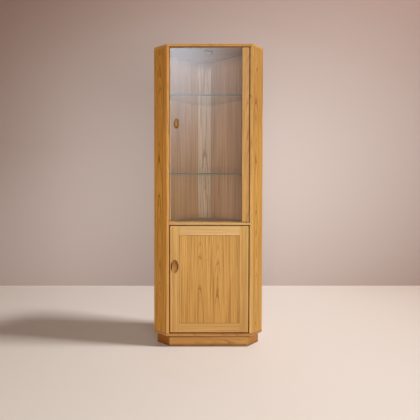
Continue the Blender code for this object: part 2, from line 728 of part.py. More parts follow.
def soften_stile(bm, outer_x, half_height):
    """Round a stile's outer front edge and the front of its two ends."""
    front = -DOOR_THICKNESS / 2.0 + ON_FACE
    sign = 1.0 if outer_x > 0.0 else -1.0

    def is_front_edge(a, b):
        if a.y > front or b.y > front:
            return False
        outer = sign * a.x > sign * outer_x - ON_FACE and sign * b.x > sign * outer_x - ON_FACE
        end = is_level_edge(a, b) and abs(a.z) > half_height - ON_FACE
        return outer or end

    soften(bm, DOOR_ROUNDING, is_front_edge)


def hinge_stile(finish, door):
    """Make the wooden stile that holds the glass and carries its pivots."""
    half_width = HINGE_STILE_WIDTH / 2.0
    half_height = (GLASS_DOOR_TOP - GLASS_DOOR_BOTTOM) / 2.0
    thickness = centred(DOOR_THICKNESS)
    bm = box((-half_width, half_width), thickness, (-half_height, half_height))
    soften_stile(bm, half_width, half_height)
    place = from_pivot(DOOR_HALF_WIDTH - half_width, PIVOT_Y, (GLASS_DOOR_TOP + GLASS_DOOR_BOTTOM) / 2.0)
    stile = add_piece("glass_door_stile", bm, finish, door, place)
    glass = grown((GLASS_SETBACK - PIVOT_Y, GLASS_SETBACK + GLASS_THICKNESS - PIVOT_Y), FIT)
    groove = box((-half_width - CUTTER_MARGIN, -half_width + GLASS_ENTRY + FIT), glass,
                 grown((-half_height, half_height), CUTTER_MARGIN))
    combine(stile, add_tool("cut_glass_door_stile_groove", groove, door, place))
    return stile


def glass_pane(finish, door):
    """Make the frameless pane with rounded free corners and a hole for its pull."""
    right = DOOR_HALF_WIDTH - HINGE_STILE_WIDTH + GLASS_ENTRY
    left = -DOOR_HALF_WIDTH
    half_width = (right - left) / 2.0
    half_height = (GLASS_DOOR_TOP - GLASS_DOOR_BOTTOM) / 2.0 - GLASS_END_GAP
    thickness = centred(GLASS_THICKNESS)
    bm = box((-half_width, half_width), thickness, (-half_height, half_height))
    free = -half_width + ON_FACE
    soften(bm, GLASS_CORNER_RADIUS, lambda a, b: a.x < free and b.x < free and abs(a.y - b.y) > ON_FACE,
           GLASS_CORNER_SEGMENTS)
    soften(bm, GLASS_ARRIS, lambda a, b: abs(a.y - b.y) < ON_FACE and max(a.x, b.x) < half_width - ON_FACE,
           CHAMFER_SEGMENTS)
    middle_y = GLASS_SETBACK + GLASS_THICKNESS / 2.0
    place = from_pivot((left + right) / 2.0, middle_y, (GLASS_DOOR_TOP + GLASS_DOOR_BOTTOM) / 2.0)
    pane = add_piece("glass_pane", bm, finish, door, place)
    hole = turned([(GLASS_HOLE_RADIUS, -GLASS_THICKNESS), (GLASS_HOLE_RADIUS, GLASS_THICKNESS)])
    combine(pane, add_tool("cut_glass_pane_hole", hole, door, pull_place(middle_y), TOWARDS_FRONT))
    return pane


def pull_place(y):
    """Give the middle of the glass door's pull at a depth."""
    return from_pivot(-DOOR_HALF_WIDTH + GLASS_PULL_EDGE_DISTANCE, y, GLASS_PULL_LEVEL)


def dish(rim, depth, half_width):
    """List the rings of a shallow dish, from its rim to its middle."""
    reach = half_width - rim
    steps = [i / DISH_STEPS for i in range(1, DISH_STEPS)]
    return [(rim + reach * t, depth * math.sin(math.pi / 2.0 * t)) for t in steps]


def pull_disc(name, thickness, finish, door, place, facing):
    """Make one oval wooden disc of the pull with a rounded rim and a dished face.

    The disc stands on y = 0 in its own frame and its face points along the given direction.
    """
    rounding = GLASS_PULL_ROUNDING
    shoulder = thickness - rounding
    turns = [math.pi / 2.0 * i / RIM_STEPS for i in range(RIM_STEPS + 1)]
    profile = [(0.0, 0.0)]
    profile += [(rounding * (1.0 - math.cos(turn)), shoulder + rounding * math.sin(turn)) for turn in turns]
    profile.append((GLASS_PULL_RIM, thickness))
    profile += [(inset, thickness - depth) for inset, depth in dish(GLASS_PULL_RIM, GLASS_PULL_DISH,
                                                                    GLASS_PULL_HALF_WIDTH)]
    bm = oval_body(GLASS_PULL_HALF_WIDTH, GLASS_PULL_HALF_HEIGHT, [(i, facing * y) for i, y in profile])
    return add_piece(name, bm, finish, door, place, smooth=True)


def glass_pull(wood, metal, door):
    """Make the two discs that clamp the glass, and the screw that draws them together."""
    front_y = GLASS_SETBACK - FIT
    back_y = GLASS_SETBACK + GLASS_THICKNESS + FIT
    front = pull_disc("glass_pull_front", GLASS_PULL_THICKNESS, wood, door, pull_place(front_y), -1.0)
    back = pull_disc("glass_pull_back", GLASS_PULL_BACK_THICKNESS, wood, door, pull_place(back_y), 1.0)
    shank = PULL_SCREW_RADIUS + FIT
    head = PULL_SCREW_HEAD_RADIUS + FIT
    head_seat = GLASS_PULL_BACK_THICKNESS - GLASS_PULL_DISH - PULL_SCREW_HEAD_HEIGHT
    blind = turned([(shank, -CUTTER_MARGIN), (shank, PULL_SCREW_BITE + FIT)])
    combine(front, add_tool("cut_glass_pull_front_bore", blind, door, pull_place(front_y), TOWARDS_FRONT))
    stepped = turned([(head, -GLASS_PULL_BACK_THICKNESS - CUTTER_MARGIN), (head, -head_seat),
                      (shank, -head_seat), (shank, CUTTER_MARGIN)])
    combine(back, add_tool("cut_glass_pull_back_bore", stepped, door, pull_place(back_y), TOWARDS_FRONT))
    seat = head_seat + FIT
    reach = back_y - front_y + PULL_SCREW_BITE
    profile = [(PULL_SCREW_HEAD_RADIUS, -seat - PULL_SCREW_HEAD_HEIGHT), (PULL_SCREW_HEAD_RADIUS, -seat),
               (PULL_SCREW_RADIUS, -seat), (PULL_SCREW_RADIUS, reach)]
    screw = turned(profile, PEG_SEGMENTS)
    add_piece("glass_pull_screw", screw, metal, door, pull_place(back_y), TOWARDS_FRONT, smooth=True)


# Lower door

PANEL_OPENING_HALF = DOOR_HALF_WIDTH - STILE_WIDTH
PANEL_OPENING = (LOWER_DOOR_BOTTOM + RAIL_WIDTH, LOWER_DOOR_TOP - RAIL_WIDTH)
PANEL_BACK = PANEL_FRONT_SETBACK + PANEL_THICKNESS
TONGUE_DEPTH_RANGE = (PANEL_BACK - PANEL_TONGUE_THICKNESS - PIVOT_Y, PANEL_BACK - PIVOT_Y)
TENON_DEPTH_RANGE = centred(TENON_THICKNESS)
RAIL_LEVELS = {"bottom": LOWER_DOOR_BOTTOM + RAIL_WIDTH / 2.0, "top": LOWER_DOOR_TOP - RAIL_WIDTH / 2.0}


def lower_stile(side_name, side, finish, door):
    """Make one full-height stile with mortises for the rails and a groove for the panel."""
    half_width = STILE_WIDTH / 2.0
    middle_z = (LOWER_DOOR_BOTTOM + LOWER_DOOR_TOP) / 2.0
    half_height = (LOWER_DOOR_TOP - LOWER_DOOR_BOTTOM) / 2.0
    thickness = centred(DOOR_THICKNESS)
    bm = box((-half_width, half_width), thickness, (-half_height, half_height))
    soften_stile(bm, side * half_width, half_height)
    place = from_pivot(side * (DOOR_HALF_WIDTH - half_width), PIVOT_Y, middle_z)
    name = f"lower_door_stile_{side_name}"
    stile = add_piece(name, bm, finish, door, place)

    def into_stile(depth):
        return sorted((-side * (half_width + CUTTER_MARGIN), -side * (half_width - depth - FIT)))

    groove_z = grown([z - middle_z for z in PANEL_OPENING], PANEL_TONGUE_DEPTH + FIT)
    groove = box(into_stile(PANEL_TONGUE_DEPTH), grown(TONGUE_DEPTH_RANGE, FIT), groove_z)
    combine(stile, add_tool(f"cut_{name}_groove", groove, door, place))
    for rail_name, level in RAIL_LEVELS.items():
        centre = level - middle_z
        heights = grown((centre - TENON_HEIGHT / 2.0, centre + TENON_HEIGHT / 2.0), FIT)
        mortise = box(into_stile(TENON_LENGTH), grown(TENON_DEPTH_RANGE, FIT), heights)
        combine(stile, add_tool(f"cut_{name}_mortise_{rail_name}", mortise, door, place))
    return stile


def lower_rail(rail_name, level, finish, door):
    """Make one rail with a tenon at each end and a groove for the panel."""
    half_length = PANEL_OPENING_HALF - FIT
    tip = PANEL_OPENING_HALF + TENON_LENGTH
    full = (centred(DOOR_THICKNESS), centred(RAIL_WIDTH))
    tenon = (TENON_DEPTH_RANGE, centred(TENON_HEIGHT))
    bm = bar([(-tip, *tenon), (-half_length, *tenon), (-half_length, *full), (half_length, *full),
              (half_length, *tenon), (tip, *tenon)])
    outwards = 1.0 if rail_name == "top" else -1.0
    front = -DOOR_THICKNESS / 2.0 + ON_FACE
    edge = RAIL_WIDTH / 2.0 - ON_FACE
    soften(bm, DOOR_ROUNDING, lambda a, b: a.y < front and b.y < front and outwards * a.z > edge
           and outwards * b.z > edge)
    place = from_pivot(0.0, PIVOT_Y, level)
    name = f"lower_door_rail_{rail_name}"
    rail = add_piece(name, bm, finish, door, place)
    inner_edge = -outwards * RAIL_WIDTH / 2.0
    bed = inner_edge + outwards * (PANEL_TONGUE_DEPTH + FIT)
    heights = sorted((inner_edge - outwards * CUTTER_MARGIN, bed))
    groove = box(grown((-half_length, half_length), CUTTER_MARGIN), grown(TONGUE_DEPTH_RANGE, FIT), heights)
    combine(rail, add_tool(f"cut_{name}_groove", groove, door, place))
    return rail


def lower_panel(finish, door):
    """Make the panel: a field almost flush with the frame, and a tongue all round it."""
    middle_z = sum(PANEL_OPENING) / 2.0
    half_height = (PANEL_OPENING[1] - PANEL_OPENING[0]) / 2.0

    def ranges(margin):
        across = PANEL_OPENING_HALF + margin
        upright = half_height + margin
        return (-across, across), (-upright, upright)

    front = PANEL_FRONT_SETBACK
    step = PANEL_BACK - PANEL_TONGUE_THICKNESS
    field = ranges(-PANEL_JOINT)
    bm = slab([(front, *ranges(-PANEL_JOINT - PANEL_ARRIS)), (front + PANEL_ARRIS, *field), (step, *field),
               (step, *ranges(PANEL_TONGUE_DEPTH - FIT)), (PANEL_BACK, *ranges(PANEL_TONGUE_DEPTH - FIT))])
    return add_piece("lower_door_panel", bm, finish, door, from_pivot(0.0, 0.0, middle_z))


def scooped_pull(stile, finish, door):
    """Make the oval cup let into the stile, scooped out for the fingers."""
    place = from_pivot(-DOOR_HALF_WIDTH + STILE_WIDTH / 2.0, 0.0, CUP_LEVEL)
    pocket_ends = [(-FIT, y) for y in (-CUTTER_MARGIN, CUP_THICKNESS + FIT)]
    pocket = oval_body(CUP_HALF_WIDTH, CUP_HALF_HEIGHT, pocket_ends)
    combine(stile, add_tool("cut_lower_door_pull_pocket", pocket, door, place))
    rim_end = CUP_RIM + CUP_RIM_ROUNDING
    profile = [(0.0, CUP_THICKNESS), (0.0, CUP_RIM_ROUNDING), (CUP_RIM_ROUNDING, 0.0), (CUP_RIM, 0.0)]
    profile += [(inset, CUP_RIM_ROUNDING + depth)
                for inset, depth in dish(rim_end, CUP_SCOOP_DEPTH - CUP_RIM_ROUNDING, CUP_HALF_WIDTH)]
    bm = oval_body(CUP_HALF_WIDTH, CUP_HALF_HEIGHT, profile)
    return add_piece("lower_door_pull", bm, finish, door, place, smooth=True)


# Catch and stop

def door_catch(plastic, metal, cabinet, door):
    """Make the magnetic catch under the middle board, and its strike on the back of the lower door."""
    x = -DOOR_HALF_WIDTH + CATCH_DOOR_EDGE_DISTANCE
    strike_y = DOOR_THICKNESS + FIT + STRIKE_THICKNESS / 2.0
    catch_y = DOOR_THICKNESS + STRIKE_THICKNESS + 2.0 * FIT + CATCH_WIDTH / 2.0
    catch_z = MIDDLE_UNDERSIDE - FIT - CATCH_HEIGHT / 2.0
    body = box(centred(CATCH_LENGTH), centred(CATCH_WIDTH), centred(CATCH_HEIGHT))
    soften_all(body, SMALL_ROUNDING)
    add_piece("door_catch", body, plastic, cabinet, (x, catch_y, catch_z))
    strike = box(centred(STRIKE_LENGTH), centred(STRIKE_THICKNESS), centred(STRIKE_HEIGHT))
    strike_z = min(catch_z, LOWER_DOOR_TOP - SMALL_ROUNDING - STRIKE_HEIGHT / 2.0)
    add_piece("door_strike", strike, metal, door, from_pivot(x, strike_y, strike_z))


def glass_door_stop(finish, cabinet):
    """Make the small block that the free corner of the glass closes against."""
    x = -DOOR_HALF_WIDTH + STOP_EDGE_DISTANCE + STOP_LENGTH / 2.0
    y = GLASS_SETBACK + GLASS_THICKNESS + FIT + STOP_WIDTH / 2.0
    block = box(centred(STOP_LENGTH), centred(STOP_WIDTH), (0.0, STOP_HEIGHT))
    soften_all(block, SMALL_ROUNDING)
    add_piece("glass_door_stop", block, finish, cabinet, (x, y, MIDDLE_LEVEL + FIT))


# Assembly

def materials():
    """Make the cabinet's finishes."""
    return {
        "board": material("oiled wood boards", (0.50, 0.27, 0.09), 0.45),
        "side": material("oiled wood sides", (0.46, 0.24, 0.08), 0.45),
        "back": material("veneered back", (0.42, 0.25, 0.11), 0.5),
        "corner": material("oiled wood corner strip", (0.52, 0.31, 0.13), 0.5),
        "plinth": material("oiled wood plinth", (0.40, 0.20, 0.06), 0.5),
        "door": material("oiled wood door frame", (0.56, 0.30, 0.10), 0.42),
        "panel": material("oiled wood door panel", (0.54, 0.29, 0.09), 0.42),
        "pull": material("oiled wood pulls", (0.34, 0.15, 0.05), 0.4),
        "glass": material("clear glass", (0.80, 0.90, 0.87), 0.03, alpha=0.3),
        "steel": material("plated steel", (0.62, 0.60, 0.57), 0.3, metallic=1.0),
        "brass": material("brass", (0.72, 0.53, 0.26), 0.3, metallic=1.0),
        "plastic": material("dark plastic", (0.05, 0.04, 0.035), 0.5),
        "nylon": material("white nylon", (0.75, 0.73, 0.68), 0.5),
        "lens": material("frosted lens", (0.85, 0.85, 0.82), 0.6),
    }


def build_carcass(finish, cabinet):
    """Make the boards that stand still, and give those that other pieces are let into."""
    wood = finish["board"]
    top = end_board("top_board", TOP_THICKNESS, 0.0, wood, cabinet, TOP_UNDERSIDE)
    bottom = end_board("bottom_board", BOTTOM_THICKNESS, BOTTOM_THICKNESS, wood, cabinet, PLINTH_HEIGHT)
    middle = middle_board(wood, cabinet)
    boards = {"top": top, "middle": middle, "bottom": bottom}
    corner = back_corner_board(finish["corner"], cabinet)
    for side_name, side in SIDES.items():
        boards[f"side_{side_name}"] = side_board(side_name, side, finish["side"], cabinet)
        boards[f"back_{side_name}"] = corner
        back_panel(side_name, side, finish["back"], cabinet)
    plinth(finish["plinth"], cabinet)
    return boards


def build_fittings(finish, cabinet, boards):
    """Make the shelves, the pegs and the lamp."""
    pegs = peg_mesh(finish["brass"])
    for level_name, share in GLASS_SHELF_SHARES.items():
        underside = MIDDLE_LEVEL + share * (TOP_UNDERSIDE - MIDDLE_LEVEL)
        glass_shelf(f"glass_shelf_{level_name}", underside, finish["glass"], cabinet)
        shelf_pegs(f"glass_{level_name}", underside, pegs, boards, cabinet)
    cupboard_shelf(finish["board"], cabinet)
    shelf_pegs("cupboard", CUPBOARD_SHELF_LEVEL, pegs, boards, cabinet)
    lamp(finish["steel"], finish["lens"], cabinet)
    lead_bush(finish["plastic"], boards["top"], cabinet)
    glass_door_stop(finish["board"], cabinet)


def build_glass_door(finish, cabinet, boards):
    """Make the glass door on its own empty, which stands on the pivot axis."""
    door = link_object("glass_door_pivot_axis", None, cabinet, (PIVOT_X, PIVOT_Y, 0.0))
    stile = hinge_stile(finish["door"], door)
    glass_pane(finish["glass"], door)
    glass_pull(finish["pull"], finish["steel"], door)
    brass = finish["brass"]
    pin_plate("glass_door_pin_top", stile, door, GLASS_DOOR_TOP, True, DOOR_TOP_GAP, brass)
    pin_plate("glass_door_pin_bottom", stile, door, GLASS_DOOR_BOTTOM, False, GLASS_DOOR_BOTTOM_GAP, brass)
    socket_plate("glass_door_socket_top", boards["top"], cabinet, TOP_UNDERSIDE, False, brass)
    socket_plate("glass_door_socket_bottom", boards["middle"], cabinet, MIDDLE_LEVEL, True, brass)
    thrust_washer("glass_door_washer", MIDDLE_LEVEL, GLASS_DOOR_BOTTOM_GAP, finish["nylon"], cabinet)


def build_lower_door(finish, cabinet, boards):
    """Make the panelled door on its own empty, which stands on the pivot axis."""
    door = link_object("lower_door_pivot_axis", None, cabinet, (PIVOT_X, PIVOT_Y, 0.0))
    stiles = {name: lower_stile(name, side, finish["door"], door) for name, side in SIDES.items()}
    for rail_name, level in RAIL_LEVELS.items():
        lower_rail(rail_name, level, finish["door"], door)
    lower_panel(finish["panel"], door)
    scooped_pull(stiles["left"], finish["pull"], door)
    door_catch(finish["plastic"], finish["steel"], cabinet, door)
    brass = finish["brass"]
    stile = stiles["right"]
    pin_plate("lower_door_pin_top", stile, door, LOWER_DOOR_TOP, True, DOOR_TOP_GAP, brass)
    pin_plate("lower_door_pin_bottom", stile, door, LOWER_DOOR_BOTTOM, False, LOWER_DOOR_BOTTOM_GAP, brass)
    socket_plate("lower_door_socket_top", boards["middle"], cabinet, MIDDLE_UNDERSIDE, False, brass)
    socket_plate("lower_door_socket_bottom", boards["bottom"], cabinet, BOTTOM_LEVEL, True, brass)
    thrust_washer("lower_door_washer", BOTTOM_LEVEL, LOWER_DOOR_BOTTOM_GAP, finish["nylon"], cabinet)


def main():
    """Build the whole cabinet with its origin under the middle of its box."""
    clear_scene()
    finish = materials()
    cabinet = link_object("cabinet_frame", None, None, (0.0, FRONT_PLANE_Y, 0.0))
    boards = build_carcass(finish, cabinet)
    build_fittings(finish, cabinet, boards)
    build_glass_door(finish, cabinet, boards)
    build_lower_door(finish, cabinet, boards)
    bpy.context.view_layer.update()


main()
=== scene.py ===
"""Tall corner display cabinet of oiled wood: rounded boards, clear glass, fittings and a plain studio.

The packed frame gives every piece its place. In the plan used here the front of the cabinet is the
line y = 0, +Y runs back into the corner and x = 0 is the middle. All sizes are in metres.
"""

import math

import bpy
import numpy as np
from bpy.props import FloatProperty, FloatVectorProperty, PointerProperty
from mathutils import Matrix, Vector
from mathutils.geometry import tessellate_polygon


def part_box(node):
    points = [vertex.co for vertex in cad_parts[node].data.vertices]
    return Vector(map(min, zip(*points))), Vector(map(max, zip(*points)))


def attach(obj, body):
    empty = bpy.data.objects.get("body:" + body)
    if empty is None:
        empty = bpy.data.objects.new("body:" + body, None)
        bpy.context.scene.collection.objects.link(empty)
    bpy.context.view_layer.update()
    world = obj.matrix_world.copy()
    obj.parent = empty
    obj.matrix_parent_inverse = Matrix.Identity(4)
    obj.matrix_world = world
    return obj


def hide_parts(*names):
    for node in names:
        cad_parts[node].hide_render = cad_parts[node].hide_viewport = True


bl_info = {
    "name": "Corner Display Cabinet",
    "version": (1, 0, 0),
    "blender": (4, 5, 0),
    "location": "3D View > Sidebar > Cabinet",
    "description": "Dresses the packed frame of a corner display cabinet in oiled wood, glass and brass",
    "category": "Object",
}

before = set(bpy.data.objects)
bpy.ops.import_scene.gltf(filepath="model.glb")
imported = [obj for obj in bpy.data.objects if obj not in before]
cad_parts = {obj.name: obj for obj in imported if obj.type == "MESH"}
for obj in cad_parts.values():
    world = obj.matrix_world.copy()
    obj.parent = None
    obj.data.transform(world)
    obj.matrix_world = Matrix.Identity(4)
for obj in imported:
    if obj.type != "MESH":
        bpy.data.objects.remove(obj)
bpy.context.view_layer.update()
ROOT2 = math.sqrt(2.0)

# Plan of the cabinet
FRONT_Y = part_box("top_board")[0].y
HALF_WIDTH = 0.2655
CANT_RUN = 0.0805
BACK_EDGE = 0.0495
WALL_LINE = HALF_WIDTH + 2.0 * CANT_RUN
DEPTH = WALL_LINE - BACK_EDGE
SIDE_THICKNESS = 0.012
BACK_LIP = 0.005
BACK_INSET = 0.011
CORNER_THICKNESS = 0.012
SHELF_GAP = 0.002
FIT = 0.0003
SIDES = {"left": -1, "right": 1}
LEAD_WAY = (0.0, DEPTH - CORNER_THICKNESS - 0.040, 0.0)

# Depth of the front strip of a board that gets painted shade beside gaps, and width of the rim of its flat
# faces
FRONT_STRIP = 0.02
BOARD_RIM = 0.017


def heights(node):
    """Give the lowest and the highest level of a CAD node."""
    low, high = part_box(node)
    return low.z, high.z


def middle_and_half(node):
    """Give the middle of a CAD node's box, and half the box's size."""
    low, high = np.array(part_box(node))
    return (low + high) / 2.0, (high - low) / 2.0


TOP = heights("top_board")
MIDDLE = heights("middle_board")
BOTTOM = heights("bottom_board")
PLINTH = heights("plinth_front")
GLASS_DOOR = heights("glass_door_stile")
LOWER_DOOR = heights("lower_door_stile_right")
RAILS = {name: heights(f"lower_door_rail_{name}") for name in ("bottom", "top")}
DOOR_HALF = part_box("glass_door_stile")[1].x
DOOR_THICKNESS = 0.020
HINGE_STILE = 0.0435
STILE = 0.057
PIVOT_INSET = 0.010
PIVOT = (DOOR_HALF - PIVOT_INSET, DOOR_THICKNESS / 2.0)


# Settings

def colour_setting(name, description, default):
    """Make a colour setting."""
    return FloatVectorProperty(name=name, description=description, default=default, size=3, min=0.0,
                               max=1.0, subtype="COLOR")


def length_setting(name, description, default):
    """Make a length setting."""
    return FloatProperty(name=name, description=description, default=default, min=0.0, unit="LENGTH",
                         precision=5)


def share_setting(name, description, default, highest=1.0):
    """Make a setting that is a plain share or strength."""
    return FloatProperty(name=name, description=description, default=default, min=0.0, max=highest)


def power_setting(name, description, default):
    """Make a setting for the power of a lamp."""
    return FloatProperty(name=name, description=description, default=default, unit="POWER")


class CabinetWoodSettings(bpy.types.PropertyGroup):
    """Colours and grain of the oiled wood."""

    board: colour_setting("Boards", "Wood of the top, middle and bottom boards", (0.540, 0.290, 0.092))
    side: colour_setting("Sides", "Wood of the two canted side boards", (0.550, 0.270, 0.075))
    back: colour_setting("Backs", "Veneer of the two back panels", (0.62, 0.345, 0.160))
    corner: colour_setting("Corner strip", "Wood between the back panels", (0.645, 0.443, 0.305))
    plinth: colour_setting("Plinth", "Wood of the plinth", (0.490, 0.243, 0.070))
    door: colour_setting("Door frames", "Wood of the stiles and rails", (0.600, 0.338, 0.112))
    panel: colour_setting("Door panel", "Wood of the lower door's panel", (0.610, 0.330, 0.094))
    pull: colour_setting("Pulls", "Wood of the two oval pulls", (0.48, 0.235, 0.080))
    contrast: share_setting("Grain contrast", "How dark the growth rings are drawn", 1.0, 2.0)
    roughness: share_setting("Roughness", "Roughness of the oiled surface", 0.44)
    relief: length_setting("Grain relief", "Depth of the open pores", 0.00025)
    # It also scales the painted highlights that the same attribute carries on some pieces.
    wear: share_setting("Edge wear", "How pale the handled edges have become", 0.45)


class CabinetFittingSettings(bpy.types.PropertyGroup):
    """Colours of the glass and of the small fittings."""

    glass: colour_setting("Glass", "Clear glass seen through its faces", (0.955, 0.985, 0.975))
    glass_edge: colour_setting("Glass edges", "Ground edges of the shelves", (0.10, 0.16, 0.15))
    # The polished edges' pale, almost opaque colour is a painted highlight.
    bright_edge: colour_setting("Polished edges", "Polished edges of the door's pane", (0.93, 0.84, 0.70))
    brass: colour_setting("Brass", "Hinge plates and shelf pegs", (0.60, 0.42, 0.20))
    steel: colour_setting("Plated steel", "Lamp, strike and screws", (0.52, 0.38, 0.26))
    plastic: colour_setting("Dark plastic", "Catch and lead bush", (0.045, 0.036, 0.030))
    nylon: colour_setting("Nylon", "Washers under the doors", (0.11, 0.085, 0.06))
    lens: colour_setting("Lens", "Frosted lens of the lamp", (0.66, 0.45, 0.28))


class CabinetShapeSettings(bpy.types.PropertyGroup):
    """Roundings of the wooden pieces."""

    board_rounding: length_setting("Board edges", "Rounding of the end boards' shown edges", 0.0030)
    middle_rounding: length_setting("Middle edge", "Rounding of the middle board's front edge", 0.0020)
    door_rounding: length_setting("Door edges", "Rounding round the outside of each door", 0.0025)
    arris: length_setting("Arrises", "Softening of every other edge", 0.0005)
    wear_width: length_setting("Wear width", "How far wear spreads from an edge", 0.007)
    panel_arris: length_setting("Panel edge", "Width of the slope round the door panel's field", 0.0014)


class CabinetStageSettings(bpy.types.PropertyGroup):
    """Floor, backdrop and lamps."""

    floor: colour_setting("Floor", "Colour of the floor", (0.765, 0.705, 0.665))
    wall: colour_setting("Backdrop", "Colour of the backdrop", (0.700, 0.635, 0.625))
    ambient: share_setting("Ambient", "Strength of the even light from all round", 0.15, 5.0)
    key: power_setting("Key lamp", "Power of the lamp at the right", 322.0)
    fill: power_setting("Fill lamp", "Power of the lamp in front", 124.0)
    sheen: share_setting("Window sheen", "Strength of the bright patch that the glass reflects", 6.0, 20.0)


# Shader maths

class Wire:
    """A value that leaves a shader node. Sums, products and powers of wires add their Math nodes."""

    def __init__(self, shading, socket):
        self.shading = shading
        self.socket = socket

    def __add__(self, other):
        return self.shading.maths("ADD", self, other)

    def __sub__(self, other):
        return self.shading.maths("SUBTRACT", self, other)

    def __rsub__(self, other):
        return self.shading.maths("SUBTRACT", other, self)

    def __mul__(self, other):
        return self.shading.maths("MULTIPLY", self, other)

    def __pow__(self, other):
        return self.shading.maths("POWER", self, other)

    __radd__ = __add__
    __rmul__ = __mul__


class Shading:
    """The node tree of a material, or of the world."""

    def __init__(self, owner):
        owner.use_nodes = True
        self.tree = owner.node_tree
        self.tree.nodes.clear()
        self.end = "OutputWorld" if isinstance(owner, bpy.types.World) else "OutputMaterial"

    def add(self, kind, inputs=None, output=0, **settings):
        """Add a node with its settings, and the values or wires of its sockets. Give one output."""
        node = self.tree.nodes.new(f"ShaderNode{kind}")
        for name, value in settings.items():
            setattr(node, name, value)
        for name, value in (inputs or {}).items():
            if isinstance(value, Wire):
                self.tree.links.new(value.socket, node.inputs[name])
            else:
                node.inputs[name].default_value = value
        return Wire(self, node.outputs[output])

    def maths(self, operation, *values):
        """Add a Math node."""
        return self.add("Math", dict(enumerate(values)), operation=operation)

    def split(self, where):
        """Give the three parts of a vector."""
        parts = self.add("SeparateXYZ", {0: where})
        return [Wire(self, socket) for socket in parts.socket.node.outputs]

    def held(self, value, highest=1.0):
        """Hold a value between 0 and the highest."""
        return self.maths("MINIMUM", self.maths("MAXIMUM", value, 0.0), highest)

    def blend(self, share, first, second, how="MIX"):
        """Mix two colours."""
        return self.add("Mix", {0: share, 6: first, 7: second}, 2, data_type="RGBA", blend_type=how)

    def noise(self, where, scale, detail=2.0, roughness=0.5):
        """Add noise whose scale may differ along each axis, in cycles to the metre."""
        stretched = self.add("VectorMath", {0: where, 1: scale}, operation="MULTIPLY")
        return self.add("TexNoise", {"Vector": stretched, "Scale": 1.0, "Detail": detail,
                                     "Roughness": roughness})

    def noise_along(self, value):
        """Add noise along one value."""
        return self.add("TexNoise", {"W": value, "Scale": 1.0, "Detail": 1.0}, noise_dimensions="1D")

    def finish(self, shader):
        """End the tree with its output node."""
        node = self.tree.nodes.new(f"ShaderNode{self.end}")
        self.tree.links.new(shader.socket, node.inputs["Surface"])


def new_material(name):
    """Make an empty material. Give it with its node tree and its object coordinates."""
    material = bpy.data.materials.new(name)
    s = Shading(material)
    return material, s, s.add("TexCoord", output="Object")


def rgba(colour, gain=1.0):
    """Give a colour with its alpha, made lighter or darker by a gain."""
    return (*(min(1.0, channel * gain) for channel in colour), 1.0)


def toned(colour, shares):
    """Multiply each channel of a colour by its own share."""
    return [channel * share for channel, share in zip(colour, shares)]


# Wood

ALONG = Vector((1.0, 0.0, 0.0))
UP = Vector((0.0, 0.0, 1.0))
TO_FRONT = Vector((0.0, -1.0, 0.0))
TO_RIGHT_FRONT = Vector((1.0, -1.0, 0.0)).normalized()
TO_LEFT_FRONT = Vector((-1.0, -1.0, 0.0)).normalized()


def board_axes(node, facing, grain):
    """Give the Mapping values that carry a node's place into its board's own frame.

    There x runs across the grain, y goes into the board from its shown face, z follows the grain,
    and the middle of the node's box is the origin.
    """
    low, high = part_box(node)
    depth = -facing
    turn = Matrix((depth.cross(grain), depth, grain))
    shift = -(turn @ ((low + high) / 2.0))
    return {"Location": shift, "Rotation": turn.to_euler()}


